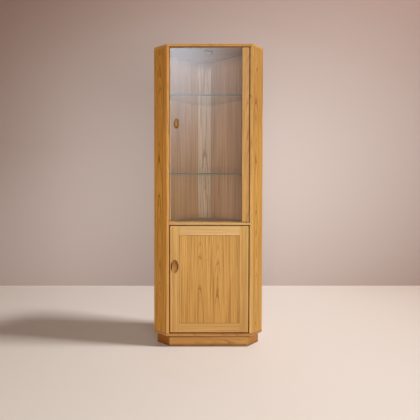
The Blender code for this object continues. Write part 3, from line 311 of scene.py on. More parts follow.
def wood(node, colour, pith, ring, lean=0.0, seed=0.0, contrast=1.0, change=0.45, painted_light_ends=None, part="wood",
         facing=TO_FRONT, grain=UP):
    """Make oiled wood cut from a log whose pith lies at given places beside and behind the board.

    A point's ring number is its distance from the pith line, wandering a little, over the width of
    a ring. The pith line sinks into the board by the lean for each metre of its length, so flat
    faces show arches. Each ring starts with a dark line of open pores that fades outwards. The change
    says how fast dark years follow pale ones, in turns of noise to the ring. Painted light makes the
    two ends of the grain lighter or darker by how the light falls: each end has its own gain, and they
    blend evenly in between.
    """
    settings = bpy.context.scene.cabinet_wood
    material, s, here = new_material(f"{node}_{part}")
    place = s.add("Mapping", {"Vector": here, **board_axes(node, facing, grain)}, vector_type="POINT")
    own = s.add("VectorMath", {0: place, 1: (seed, 0.37 * seed, 1.9 * seed)}, operation="ADD")
    across, deep, along = s.split(place)
    wander = (s.noise(own, (4.0, 4.0, 1.9), 1.0) - 0.5) * 0.022
    ripple = (s.noise(own, (45.0, 45.0, 14.0), 3.0, 0.6) - 0.5) * 1.15
    distance = None
    for beside, behind in pith:
        x = across - beside + wander
        y = deep - behind + along * -lean + wander * 0.5
        radius = (x * x + y * y) ** 0.5
        distance = radius if distance is None else s.maths("MINIMUM", distance, radius)
    rings = distance * (1.0 / ring) + ripple
    early = s.maths("FRACT", rings)
    line = (1.0 - early) ** 3.0 * s.held(early * 14.0)
    year = s.held((s.noise_along(rings * change + seed * 7.0) - 0.42) * 5.5)
    spell = s.noise_along(rings * 0.17 + seed * 5.0)
    cloud = s.noise(own, (7.0, 7.0, 1.1), 3.0)
    fibre = s.noise(own, (520.0, 520.0, 10.0), 3.0, 0.6)
    streak = s.noise(own, (82.0, 82.0, 1.6), 3.0, 0.6)
    thread = s.held((s.noise(own, (150.0, 150.0, 2.4), 1.0, 0.6) - 0.54) * 8.0)
    pores = s.held((s.noise(own, (1700.0, 1700.0, 70.0), 1.0) - 0.58) * 7.0) * (0.25 + line * 0.75)
    depth_of_tone = s.held(0.5 + (cloud - 0.5) * 1.3 + (spell - 0.5) * 0.4 + (streak - 0.5) * 1.3)
    base = s.blend(depth_of_tone, rgba(toned(colour, (1.22, 1.29, 1.34))), rgba(colour, 0.80))
    dark = toned(colour, (0.46, 0.36, 0.26))
    threaded = s.blend(s.held(thread * (0.70 * settings.contrast * contrast)), base,
                       rgba(toned(colour, (0.66, 0.56, 0.44))))
    ringed = s.blend(s.held(line * year * (settings.contrast * contrast)), threaded, rgba(dark))
    fibred = s.blend(s.held((fibre - 0.42) * 0.9), ringed, rgba(colour, 0.62))
    pored = s.blend(pores * 0.55, fibred, rgba(dark, 0.7))
    # The attribute read here is real rubbing on handled edges, and also painted highlights: on the left
    # board's gap face, along the side boards' front strips and in the pulls' hollows.
    worn = s.add("Attribute", output="Fac", attribute_name="wear")
    wear_and_highlight_share = s.held(worn * (0.35 + s.noise(own, (24.0, 24.0, 9.0), 3.0) * 1.1)) * settings.wear
    wear_and_highlight_colour = (colour[0] * 0.72 + 0.21, colour[1] * 0.78 + 0.15, colour[2] * 0.85 + 0.095)
    shown = s.blend(wear_and_highlight_share, pored, rgba(wear_and_highlight_colour))
    # Where that attribute is below 0, a darker colour is blended in: painted shade at the edges of gaps.
    shown = s.blend(s.held(worn * -0.9), shown, rgba(toned(colour, (0.60, 0.34, 0.09))))
    # Painted light: one end of the grain lighter, the other darker, by how the light falls on the piece.
    if painted_light_ends:
        low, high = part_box(node)
        level = s.held(along * (1.0 / (high - low).dot(grain)) + 0.5)
        first, last = painted_light_ends
        shown = s.blend(1.0, shown, s.blend(level, (*first, 1.0), (*last, 1.0)), "MULTIPLY")
    # Painted shade, from its own attribute: a darker colour in gaps and recesses, under boards and on shaded
    # parts; it also makes the surface rougher there.
    painted_shade_amount = s.add("Attribute", output="Fac", attribute_name="grime")
    painted_shade_colour = toned(colour, (0.15, 0.085, 0.03))
    shown = s.blend(s.held(painted_shade_amount * (0.6 + cloud)) * 0.94, shown, rgba(painted_shade_colour))
    rough = settings.roughness + (cloud - 0.5) * 0.14 + pores * 0.16 - wear_and_highlight_share * 0.10 + (fibre - 0.5) * 0.08
    rough = rough + painted_shade_amount * 0.5
    height = fibre * 0.25 - pores * 0.8 - line * year * 0.35
    relief = s.add("Bump", {"Strength": 0.6, "Distance": settings.relief, "Height": height})
    s.finish(s.add("BsdfPrincipled", {"Base Color": shown, "Roughness": rough, "Normal": relief, "IOR": 1.45,
                                      "Specular IOR Level": 0.35}))
    return material


# Glass, metal and plastic

def glass(name, colour, clearness, roughness):
    """Make glass with faint smears. Lamps shine through it without being bent."""
    material, s, here = new_material(name)
    smear = s.noise(here, (9.0, 9.0, 4.0), 4.0, 0.65)
    streaks = s.noise(here, (60.0, 60.0, 7.0), 2.0)
    rough = s.held((smear - 0.5) * roughness + (streaks - 0.5) * roughness * 0.5 + roughness)
    clear = s.add("BsdfPrincipled", {"Base Color": rgba(colour), "Roughness": rough, "IOR": 1.5,
                                     "Transmission Weight": clearness})
    through = s.add("BsdfTransparent", {"Color": rgba(colour, 0.96)})
    shadow_ray = s.add("LightPath", output="Is Shadow Ray")
    s.finish(s.add("MixShader", {0: shadow_ray, 1: clear, 2: through}))
    return material


def metal(name, colour, roughness):
    """Make a metal with fine brush marks, faint tarnish and brighter rubbed patches."""
    material, s, here = new_material(name)
    tarnish = s.noise(here, (90.0, 90.0, 90.0), 4.0, 0.6)
    brush = s.noise(here, (260.0, 2600.0, 2600.0), 2.0)
    shown = s.blend(s.held((tarnish - 0.40) * 2.0), rgba(colour, 1.08), rgba(colour, 0.80))
    rough = roughness + (tarnish - 0.5) * 0.16 + (brush - 0.5) * 0.14
    relief = s.add("Bump", {"Strength": 0.2, "Distance": 0.00004, "Height": brush})
    s.finish(s.add("BsdfPrincipled", {"Base Color": shown, "Metallic": 1.0, "Roughness": rough,
                                      "Normal": relief}))
    return material


def moulded(name, colour, roughness, grain=0.00006):
    """Make a moulded plastic with a fine even skin and slightly dusty patches."""
    material, s, here = new_material(name)
    dust = s.noise(here, (70.0, 70.0, 70.0), 3.0)
    skin = s.noise(here, (2400.0, 2400.0, 2400.0), 1.0)
    shown = s.blend(s.held((dust - 0.45) * 1.8), rgba(colour), rgba([0.82 * c + 0.03 for c in colour]))
    rough = roughness + (dust - 0.5) * 0.20
    relief = s.add("Bump", {"Strength": 0.4, "Distance": grain, "Height": skin})
    s.finish(s.add("BsdfPrincipled", {"Base Color": shown, "Roughness": rough, "Normal": relief}))
    return material


def fitting_material(kind):
    """Give one of the fittings' materials, made once."""
    name = f"{kind}_finish"
    made = bpy.data.materials.get(name)
    if made:
        return made
    fittings = bpy.context.scene.cabinet_fittings
    make, setting, *values = {
        "clear_glass": (glass, "glass", 1.0, 0.004),
        "glass_edge": (glass, "glass_edge", 0.45, 0.16),
        "polished_edge": (glass, "bright_edge", 0.05, 0.20),
        "brass": (metal, "brass", 0.30),
        "plated_steel": (metal, "steel", 0.26),
        "dark_plastic": (moulded, "plastic", 0.48),
        "nylon": (moulded, "nylon", 0.45),
        "frosted_lens": (moulded, "lens", 0.55, 0.0001),
    }[kind]
    return make(name, getattr(fittings, setting), *values)


# Surfaces

UPRIGHT = np.eye(3)
LENGTHWAYS = np.array([[0.0, 1.0, 0.0], [0.0, 0.0, 1.0], [1.0, 0.0, 0.0]])
FORWARD = np.array([[1.0, 0.0, 0.0], [0.0, 0.0, 1.0], [0.0, -1.0, 0.0]])


def crossed(a, b):
    """Give the cross product of plan vectors, row by row."""
    return a[:, 0] * b[:, 1] - a[:, 1] * b[:, 0]


def rounded_outline(corners, radii, insets, spread, steps=5):
    """Follow an anticlockwise outline round, once for each row of insets.

    Side k runs from corner k to the next one, and is moved inwards along its normal by its inset. The
    centre of a corner's rounding lies where its two sides cross once each is moved in by the radius
    as well, or out by it at a hollow corner. The rounding's points are that centre plus the radius
    times a unit normal that turns evenly from one side's to the next one's. Two more points stand
    back along each side, by the spread and by three times it.
    """
    corners = np.asarray(corners, float)
    insets = np.atleast_2d(np.asarray(insets, float))
    sides = np.roll(corners, -1, axis=0) - corners
    lengths = np.hypot(sides[:, 0], sides[:, 1])
    run = sides / lengths[:, None]
    normal = np.stack([run[:, 1], -run[:, 0]], axis=1)
    before = np.roll(normal, 1, axis=0)
    sine = crossed(before, normal)
    turn = np.arctan2(sine, (before * normal).sum(axis=1))
    radius = np.sign(turn) * np.broadcast_to(radii, turn.shape)
    reach = (normal * corners).sum(axis=1) - insets
    first, second = np.roll(reach, 1, axis=1) - radius, reach - radius
    centre = np.stack([first * normal[:, 1] - second * before[:, 1],
                       second * before[:, 0] - first * normal[:, 0]], axis=-1) / sine[:, None]
    share = np.linspace(0.0, 1.0, steps + 1)
    angle = np.arctan2(before[:, 1], before[:, 0])[:, None] + turn[:, None] * share
    bend = radius[:, None, None] * np.stack([np.cos(angle), np.sin(angle)], axis=-1)
    points = centre[:, :, None, :] + bend
    tangent = np.abs(radius * np.tan(turn / 2.0))
    free = (lengths - tangent - np.roll(tangent, -1) - 2.0 * insets.max())[:, None]
    stand = np.minimum(np.multiply(spread, [1.0, 3.0]), free * [0.25, 0.45])[:, :, None] * run[:, None]
    lead_in = points[:, :, :1] - np.roll(stand, 1, axis=0)[:, ::-1]
    lead_out = points[:, :, -1:] + stand
    whole = np.concatenate([lead_in, points, lead_out], axis=2)
    return whole.reshape(len(insets), -1, 2)


def outline_wear(worn, steps=5):
    """Give each point of a rounded outline its wear: its corner's on the rounding, and none beside it."""
    worn = np.asarray(worn, float)
    spots = np.zeros((len(worn), steps + 5))
    spots[:, 2:-2] = worn[:, None]
    return spots.ravel()


def raised(corners, radii, ends, low, high, spread, worn=0.0, end_worn=0.0, cap_spread=0.0, steps=5):
    """Raise an outline from one level to another, with its ends rounded over.

    At each end the sides stand in by their own end radius times 1 - sin(a) while the level climbs
    by the largest end radius times 1 - cos(a), for a from 0 to a quarter turn. A further ring near
    each end, and one inside each flat end face, keep the wear close to the edges. Gives the rings and
    the wear of their points.
    """
    ends = np.broadcast_to(ends, (len(corners),)).astype(float)
    largest = ends.max()
    a = np.linspace(0.0, math.pi / 2.0, steps + 1)
    fold, climb = 1.0 - np.sin(a), largest * (1.0 - np.cos(a))
    stand = min(spread, 0.42 * (high - low - 2.0 * largest))
    folds = np.concatenate([fold, [0.0, 0.0], fold[::-1]])
    inwards = largest + stand
    levels = np.concatenate([low + climb, [low + inwards, high - inwards], high - climb[::-1]])
    wear = np.concatenate([np.full(steps + 1, end_worn), [0.0, 0.0], np.full(steps + 1, end_worn)])
    insets = folds[:, None] * ends
    if cap_spread:
        insets = np.concatenate([insets[:1] + cap_spread, insets, insets[-1:] + cap_spread])
        levels = np.concatenate([[low], levels, [high]])
        wear = np.concatenate([[0.0], wear, [0.0]])
    outlines = rounded_outline(corners, radii, insets, spread, steps)
    rings = np.dstack([outlines, np.broadcast_to(levels[:, None], outlines.shape[:2])])
    spots = outline_wear(np.broadcast_to(worn, (len(corners),)), steps)
    inner = (wear == 0.0) & ((levels == low) | (levels == high))
    both = np.maximum(spots, wear[:, None])
    both[inner] = 0.0
    return rings, both


def beside_gap(distance, rounding, reach):
    """Say how much a point belongs to a gap's dark line of painted shade, by its distance from the face that
    looks into it.

    It is 1 up to 0.3 roundings short of the reach, and falls evenly to 0 at the reach.
    """
    return np.clip((reach - distance / rounding) / 0.3, 0.0, 1.0)


def gap_marks(wear, distance, rounding, where=True, gap_edge_shade_reach=0.95, shade_reach=0.35):
    """Give the edge marks and the painted shade beside a gap. The edge marks turn to -1 where the edge is
    painted dark as the gap's shade.
    """
    gap_edge_shade = beside_gap(distance, rounding, gap_edge_shade_reach) * where
    return wear * (1.0 - gap_edge_shade) - gap_edge_shade, beside_gap(distance, rounding, shade_reach) * where


def arc(x, y, radius, first, last, count):
    """List points along an arc about a centre, from one angle to another in degrees."""
    angle = np.radians(np.linspace(first, last, count))
    return np.stack([x + radius * np.cos(angle), y + radius * np.sin(angle)], axis=1)


def turned(profile, segments=48):
    """Turn a profile of (radius, level) pairs about the upright axis: (r cos t, r sin t, z)."""
    profile = np.asarray(profile, float)
    t = np.linspace(0.0, 2.0 * math.pi, segments, endpoint=False)
    circle = np.stack([np.cos(t), np.sin(t)], axis=-1)
    flat = profile[:, None, :1] * circle[None]
    return np.dstack([flat, np.broadcast_to(profile[:, None, 1], flat.shape[:2])])


def ovals(half_width, half_height, profile, segments=96):
    """Stack ovals of (inset, level) pairs: ((w - i) cos t, (h - i) sin t, z)."""
    profile = np.asarray(profile, float)
    t = np.linspace(0.0, 2.0 * math.pi, segments, endpoint=False)
    x = (half_width - profile[:, :1]) * np.cos(t)
    y = (half_height - profile[:, :1]) * np.sin(t)
    return np.dstack([x, y, np.broadcast_to(profile[:, 1:], x.shape)])


class Shell:
    """The points and faces of a piece, gathered from whole grids."""

    def __init__(self, axes=UPRIGHT, origin=(0.0, 0.0, 0.0)):
        self.axes = np.asarray(axes, float)
        self.origin = np.asarray(origin, float)
        self.points, self.wear, self.grime, self.faces, self.slots = [], [], [], [], []
        self.count = 0

    def put(self, points, wear=0.0, grime=0.0):
        """Add points, and give their numbers in the same rows."""
        flat = points.reshape(-1, 3)
        numbers = self.count + np.arange(len(flat))
        self.count += len(flat)
        self.points.append(flat @ self.axes + self.origin)
        self.wear.append(np.broadcast_to(wear, points.shape[:-1]).ravel())
        self.grime.append(np.broadcast_to(grime, points.shape[:-1]).ravel())
        return numbers.reshape(points.shape[:-1])

    def band(self, lower, upper, slot=0):
        """Join each ring of numbers to the one above it with quads."""
        quads = np.stack([lower, np.roll(lower, -1, axis=-1), np.roll(upper, -1, axis=-1), upper], axis=-1)
        faces = quads.reshape(-1, 4).tolist()
        self.faces += faces
        self.slots += [slot] * len(faces)

    def face(self, loop):
        """Add one flat face."""
        self.faces.append(loop.tolist())
        self.slots.append(0)

    def skin(self, rings, wear=0.0, grime=0.0, slot=0):
        """Skin a stack of rings, and leave its ends open. Give the ring numbers."""
        numbers = self.put(rings, wear, grime)
        self.band(numbers[:-1], numbers[1:], slot)
        return numbers

    def lining(self, rings, wear=0.0, grime=0.0, slot=0):
        """Line a hole with a stack of rings. Give the ring numbers."""
        numbers = self.put(rings, wear, grime)
        self.band(numbers[1:], numbers[:-1], slot)
        return numbers

    def solid(self, rings, wear=0.0, grime=0.0, slot=0):
        """Skin a stack of rings and close both ends."""
        numbers = self.skin(rings, wear, grime, slot)
        self.face(numbers[0][::-1])
        self.face(numbers[-1])

    def hoop(self, rings):
        """Skin a stack of rings whose last joins the first."""
        numbers = self.put(rings)
        self.band(numbers, np.roll(numbers, -1, axis=0))

    def holed_face(self, outer, inner, up=True, slot=0):
        """Fill the flat space between an outer and an inner loop of numbers with triangles."""
        points = np.concatenate(self.points)
        loops = [[Vector(points[number]) for number in loop] for loop in (outer, inner)]
        numbers = np.concatenate([outer, inner])
        triangles = numbers[np.array(tessellate_polygon(loops))]
        a, b, c = (points[triangles[:, corner]] for corner in range(3))
        wrong = np.cross(b - a, c - a) @ self.axes[2] * (1.0 if up else -1.0) < 0.0
        triangles[wrong] = triangles[wrong][:, ::-1]
        self.faces += triangles.tolist()
        self.slots += [slot] * len(triangles)


def add_piece(name, node, shell, slot, body="carcass", materials=None):
    """Make a piece from its shell, ride it on its body and let it stand for its CAD node.

    Without materials it takes the fitting material of its slot.
    """
    mesh = bpy.data.meshes.new(name)
    points = np.concatenate(shell.points) + np.array([0.0, FRONT_Y, 0.0])
    mesh.from_pydata(points.tolist(), [], shell.faces)
    mesh.polygons.foreach_set("material_index", np.array(shell.slots, np.int32))
    for attribute, values in (("wear", shell.wear), ("grime", shell.grime)):
        field = mesh.attributes.new(attribute, "FLOAT", "POINT")
        field.data.foreach_set("value", np.concatenate(values).astype(np.float32))
    for material in materials or [fitting_material(slot)]:
        mesh.materials.append(material)
    mesh.shade_smooth()
    mesh.set_sharp_from_angle(angle=math.radians(50.0))
    piece = bpy.data.objects.new(name, mesh)
    bpy.context.scene.collection.objects.link(piece)
    flatten = piece.modifiers.new("Even faces", "WEIGHTED_NORMAL")
    flatten.keep_sharp = True
    flatten.weight = 80
    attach(piece, body)
    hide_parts(node)


def add_wooden(name, node, slot, rings, marks, cut, body="carcass", axes=UPRIGHT, origin=(0.0, 0.0, 0.0)):
    """Skin rings as one solid, marked with worn edges, painted highlights and painted shade, and make a
    piece of it in its own cut of wood.
    """
    shell = Shell(axes, origin)
    shell.solid(rings, *marks)
    add_piece(name, node, shell, slot, body, [wood(node, **cut)])


# Plan outlines

def plan(front=0.0, cant=0.0, back=0.0, corner=0.0):
    """Give the six corners of the plan, from the front right, with each kind of edge moved inwards."""
    cant_line = HALF_WIDTH - cant * ROOT2
    back_line = WALL_LINE - back * ROOT2
    corner_y = DEPTH - corner
    right = [(cant_line + front, front), ((back_line + cant_line) / 2.0, (back_line - cant_line) / 2.0),
             (back_line - corner_y, corner_y)]
    return right + [(-x, y) for x, y in reversed(right)]


def wing(across, behind):
    """Give a right-hand plan point: so far in along the back, and so far out towards the wall."""
    return (HALF_WIDTH + CANT_RUN + (behind - across) / ROOT2, CANT_RUN + (behind + across) / ROOT2)


def wing_front(across):
    """Give the second distance at which a line along the side board meets the front."""
    return -CANT_RUN * ROOT2 - across


def handed(corners, side):
    """Use right-hand corners as they are, or mirror them and keep them anticlockwise."""
    return corners if side > 0 else [(-x, y) for x, y in reversed(corners)]


def handed_row(values, side):
    """Put one value for each corner in the order of the handed outline."""
    return values if side > 0 else list(reversed(values))


def rectangle(x_range, y_range):
    """Give the corners of a rectangle, anticlockwise."""
    (a, b), (c, d) = x_range, y_range
    return [(a, c), (b, c), (b, d), (a, d)]


# Operators

class PieceOperator:
    """What the operators share."""

    bl_options = {"REGISTER", "UNDO"}


class CABINET_OT_end_boards(PieceOperator, bpy.types.Operator):
    """Make the top and bottom boards: the plan outline raised, with its shown edges rounded over"""

    bl_idname = "cabinet.end_boards"
    bl_label = "Top and Bottom Boards"

    def execute(self, context):
        shape = context.scene.cabinet_shape
        board = context.scene.cabinet_wood.board
        shown, hidden = shape.board_rounding, shape.arris
        corner = shown / math.tan(math.radians(22.5))
        radii = [corner, hidden, hidden, hidden, hidden, corner]
        ends = [shown, hidden, hidden, hidden, shown, shown]
        worn = [1.0, 0.6, 0.2, 0.2, 0.6, 1.0]
        rows = (("top_board", TOP, (1.05, 0.97, 0.85), 3.1, 0.6),
                ("bottom_board", BOTTOM, (0.82, 0.72, 0.60), 7.7, 0.95))
        for node, (low, high), shares, seed, gap_edge_shade_reach in rows:
            is_top = node == "top_board"
            rings, wear = raised(plan(), radii, ends, low, high, shape.wear_width, worn, 1.0, BOARD_RIM)
            inside = rings[..., 2] - low if is_top else high - rings[..., 2]
            # Painted shade on the front strip, beside the gap to the doors.
            marks = gap_marks(wear, inside, shown, rings[..., 1] < FRONT_STRIP, gap_edge_shade_reach)
            cut = dict(grain=ALONG, pith=[(0.030, 0.110)], ring=0.0045, lean=0.05, seed=seed)
            finishes = [wood(node, toned(board, shares), **cut)]
            shell = Shell()
            if is_top:
                self.bored(shell, rings, marks)
                # The lower face gets a paler copy of the wood: painted light.
                pale = toned(board, (0.98, 1.04, 1.35))
                finishes.append(wood(node, pale, **cut, contrast=0.6, part="inside_wood"))
            else:
                shell.solid(rings, *marks)
            add_piece(f"rounded_{node}", node, shell, "board_wood", materials=finishes)
        return {"FINISHED"}

    def bored(self, shell, rings, marks):
        """Skin the top board round the way for the lamp's lead. Its lower face has the second, painted light
        finish.
        """
        numbers = shell.put(rings, *marks)
        shell.band(numbers[1:-1], numbers[2:])
        shell.band(numbers[:1], numbers[1:2], 1)
        low, high = TOP
        narrow, wide, ledge = 0.0083, 0.0113, high - 0.0018
        profile = [(narrow, low), (narrow, ledge), (wide, ledge), (wide, high)]
        bore = shell.lining(turned(profile) + np.array(LEAD_WAY), 0.3)
        shell.holed_face(numbers[-1], bore[-1])
        shell.holed_face(numbers[0], bore[0], False, 1)


class CABINET_OT_middle_board(PieceOperator, bpy.types.Operator):
    """Make the board between the two compartments, fitted between the sides"""

    bl_idname = "cabinet.middle_board"
    bl_label = "Middle Board"

    def execute(self, context):
        shape = context.scene.cabinet_shape
        low, high = MIDDLE
        corners = plan(0.0, SIDE_THICKNESS + FIT, BACK_INSET + FIT, CORNER_THICKNESS + FIT)
        ends = [shape.arris] * 5 + [shape.middle_rounding]
        rings, wear = raised(corners, shape.arris, ends, low, high, shape.wear_width, end_worn=0.8,
                             cap_spread=BOARD_RIM)
        wear[:, rings[0, :, 1] > FRONT_STRIP] *= 0.2
        # Painted shade on the front edge, beside the gap above the lower door.
        marks = gap_marks(wear, rings[..., 2] - low, shape.middle_rounding, rings[..., 1] < FRONT_STRIP)
        cut = dict(colour=toned(context.scene.cabinet_wood.board, (1.08, 1.22, 1.38)), grain=ALONG,
                   pith=[(0.050, 0.140)], ring=0.0040, lean=0.03, seed=5.3, contrast=0.8)
        add_wooden("rounded_middle_board", "middle_board", "board_wood", rings, marks, cut)
        return {"FINISHED"}


class CABINET_OT_side_boards(PieceOperator, bpy.types.Operator):
    """Make the two canted side boards, each grooved for its back panel"""

    bl_idname = "cabinet.side_boards"
    bl_label = "Side Boards"

    def execute(self, context):
        shape = context.scene.cabinet_shape
        tint = context.scene.cabinet_wood.side
        groove, inner_corner = 0.0060, HALF_WIDTH - 0.0165
        out, inner = -BACK_LIP + FIT, -BACK_INSET - FIT
        corners = [wing(0.0, wing_front(0.0)), wing(0.0, 0.0), wing(SIDE_THICKNESS, 0.0),
                   wing(SIDE_THICKNESS, out), wing(groove, out), wing(groove, inner),
                   wing(SIDE_THICKNESS, inner), wing(SIDE_THICKNESS, wing_front(SIDE_THICKNESS))]
        radii = [0.0034, 0.0010, shape.arris, 0.0003, 0.0003, 0.0003, 0.0003, 0.0009]
        worn = [0.0, 0.8, 0.2, 0.0, 0.0, 0.0, 0.0, 1.0]
        # Painted light: the left board's warmer tint stands for the shade it stands in, and each board is
        # painted lighter towards its foot and darker towards its head.
        looks = {"left": dict(colour=toned(tint, (1.12, 1.06, 0.66)), facing=TO_LEFT_FRONT,
                              pith=[(-0.012, 0.034)], painted_light_ends=((1.03, 1.05, 1.06), (0.99, 0.96, 0.95))),
                 "right": dict(colour=toned(tint, (1.04, 1.11, 0.96)), facing=TO_RIGHT_FRONT,
                               pith=[(-0.014, 0.030)], painted_light_ends=((1.14, 1.21, 1.22), (0.88, 0.87, 0.88)))}
        for side_name, side in SIDES.items():
            node = f"side_board_{side_name}"
            rings, wear = raised(handed(corners, side), handed_row(radii, side), 0.0002, BOTTOM[1] + FIT,
                                 TOP[0] - FIT, shape.wear_width, handed_row(worn, side), end_worn=0.3)
            depth = rings[..., 1]
            gap_face = (np.abs(rings[..., 0]) < inner_corner + depth) & (depth < 0.012)
            # The front strip is made pale: rubbing along it, and a painted highlight along its outer edge.
            wear = np.maximum(wear, 1.4 * (depth < 0.0010))
            # Painted light and shade in the gap beside the doors: the left board's gap face is made pale
            # with painted light; the right board's is made dark with painted shade.
            if side < 0:
                wear, grime = np.maximum(wear, 1.6 * gap_face), 0.0
            else:
                wear, grime = np.where(gap_face & (depth < 0.0012), -1.0, wear), gap_face & (depth > 0.0004)
            cut = dict(looks[side_name], ring=0.0050, lean=0.042, seed=2.0 + side * 0.9, contrast=1.6,
                       change=0.75)
            add_wooden(f"rounded_{node}", node, "side_wood", rings, (wear, grime), cut)
        return {"FINISHED"}


class CABINET_OT_backs(PieceOperator, bpy.types.Operator):
    """Make the two thin back panels and the solid strip that closes the corner between them"""

    bl_idname = "cabinet.backs"
    bl_label = "Back Panels and Corner Strip"

    def execute(self, context):
        tints = context.scene.cabinet_wood
        low, high = BOTTOM[1] + FIT, TOP[0] - FIT
        groove_start, shade_width, shaded = 0.0063, 0.055, high - 0.01

        def rings_of(corners):
            rings, _ = raised(corners, 0.0003, 0.0002, low, high, shade_width)
            return rings

        outer, inner = -BACK_LIP, -BACK_INSET
        ends = [(WALL_LINE + v * ROOT2 - DEPTH, DEPTH) for v in (outer, inner)]
        corners = [wing(groove_start, inner), wing(groove_start, outer)] + ends
        # The right panel's paler, bluer tint is painted light.
        looks = {"left": dict(colour=toned(tints.back, (0.98, 0.95, 0.90)), facing=TO_RIGHT_FRONT),
                 "right": dict(colour=toned(tints.back, (1.44, 1.46, 1.84)), facing=TO_LEFT_FRONT)}
        for side_name, side in SIDES.items():
            node = f"back_panel_{side_name}"
            rings = rings_of(handed(corners, side))
            # Painted shadow of the top board across the top of each panel; on the right panel painted shade
            # also darkens it towards the corner strip.
            grime = (rings[..., 2] > shaded) * 0.42
            if side > 0:
                grime = np.maximum(grime, np.clip(0.48 - np.abs(rings[..., 0]) * 1.9, 0.0, 0.4))
            cut = dict(looks[side_name], pith=[(0.12 * side, 0.090)], ring=0.0060, lean=0.012,
                       seed=11.0 + side, contrast=0.9, part="veneer")
            add_wooden(f"fitted_{node}", node, "back_veneer", rings, (0.0, grime), cut)
        line = WALL_LINE - (BACK_INSET + FIT) * ROOT2
        face_y = DEPTH - CORNER_THICKNESS
        rings = rings_of([(line - face_y, face_y), (line - DEPTH, DEPTH), (DEPTH - line, DEPTH),
                          (face_y - line, face_y)])
        cut = dict(colour=tints.corner, pith=[(0.004, 0.036)], ring=0.0060, lean=0.030, seed=17.0,
                   contrast=1.5)
        # Painted shadow of the top board across the top of the strip.
        marks = (0.0, (rings[..., 2] > shaded) * 0.60)
        add_wooden("fitted_corner_strip", "back_corner_board", "corner_wood", rings, marks, cut)
        return {"FINISHED"}


class CABINET_OT_plinth(PieceOperator, bpy.types.Operator):
    """Make the six mitred boards of the plinth and the glue blocks behind its front mitres"""

    bl_idname = "cabinet.plinth"
    bl_label = "Plinth"

    def execute(self, context):
        shape = context.scene.cabinet_shape
        tint = context.scene.cabinet_wood.plinth
        low, high = PLINTH
        front_setback, cant_setback, back_setback = 0.017, 0.0245, 0.005
        thickness, mitre_gap, shade_width = 0.016, 0.00022, 0.015

        def outline(inset):
            return np.array(plan(front_setback + inset, cant_setback + inset, back_setback + inset,
                                 back_setback + inset))

        outer, inner = outline(0.0), outline(thickness)
        along = np.roll(outer, -1, axis=0) - outer
        along /= np.hypot(along[:, 0], along[:, 1])[:, None]
        # The left side board's darker tone is painted shade.
        tones = {"plinth_side_left": (0.65, 0.44, 0.13), "plinth_side_right": (1.04, 0.91, 0.58)}
        nodes = ["plinth_side_right", "plinth_back_right", "plinth_back_corner", "plinth_back_left",
                 "plinth_side_left", "plinth_front"]
        for index, node in enumerate(nodes):
            after = (index + 1) % len(nodes)
            run = along[index]
            step = run * mitre_gap
            corners = [outer[index] + step, outer[after] - step, inner[after] - step, inner[index] + step]
            rings, wear = raised(corners, [0.0004, 0.0004, 0.0002, 0.0002], [0.0008, 0.0002, 0.0002, 0.0002],
                                 low, high, shade_width, [0.5, 0.5, 0.0, 0.0], end_worn=0.5)
            # Painted shade along the foot, and a painted shadow under the bottom board's overhang.
            grime = 0.7 * (rings[..., 2] < low + 0.004) + 1.2 * (rings[..., 2] > high - 0.003)
            cut = dict(colour=toned(tint, tones.get(node, (1.0, 1.0, 1.0))), pith=[(0.012, 0.070)],
                       ring=0.0042, lean=0.04, seed=21.0 + 1.7 * index, contrast=0.8,
                       facing=Vector((run[1], -run[0], 0.0)), grain=Vector((run[0], run[1], 0.0)))
            add_wooden(f"mitred_{node}", node, "plinth_wood", rings, (wear, grime), cut)
        corner = outline(thickness + FIT)[0]
        leg, block_low = 0.036, heights("plinth_block_right")[0]
        right = [tuple(corner), tuple(corner + np.array([leg, leg]) / ROOT2), (corner[0] - leg, corner[1])]
        for side_name, side in SIDES.items():
            node = f"plinth_block_{side_name}"
            rings, wear = raised(handed(right, side), 0.0008, 0.0006, block_low, high, shape.wear_width,
                                 worn=0.2, end_worn=0.2)
            cut = dict(colour=tint, pith=[(0.08, 0.05)], ring=0.003, seed=33.0 + side)
            add_wooden(f"planed_{node}", node, "plinth_wood", rings, (wear,), cut)
        return {"FINISHED"}


class CABINET_OT_shelves(PieceOperator, bpy.types.Operator):
    """Make the two glass shelves with ground edges, and the wooden shelf of the cupboard"""

    bl_idname = "cabinet.shelves"
    bl_label = "Shelves"

    def execute(self, context):
        shape = context.scene.cabinet_shape
        rims = [size + SHELF_GAP for size in (SIDE_THICKNESS, BACK_INSET, CORNER_THICKNESS)]
        glass_plan, wood_plan = plan(0.030, *rims), plan(0.040, *rims)
        for node in ("glass_shelf_lower", "glass_shelf_upper"):
            rings, _ = raised(glass_plan, 0.0030, 0.0007, *heights(node), spread=0.004, steps=3)
            shell = Shell()
            shell.solid(rings, slot=1)
            materials = [fitting_material("clear_glass"), fitting_material("glass_edge")]
            add_piece(f"ground_{node}", node, shell, "glass", materials=materials)
        node = "cupboard_shelf"
        ends = [shape.arris] * 5 + [0.0015]
        rings, wear = raised(wood_plan, 0.0006, ends, *heights(node), shape.wear_width, worn=0.3,
                             end_worn=0.5, cap_spread=0.010)
        cut = dict(colour=context.scene.cabinet_wood.board, grain=ALONG, pith=[(0.06, 0.12)], ring=0.004,
                   lean=0.03, seed=41.0, contrast=0.8)
        add_wooden(f"rounded_{node}", node, "board_wood", rings, (wear,), cut)
        return {"FINISHED"}


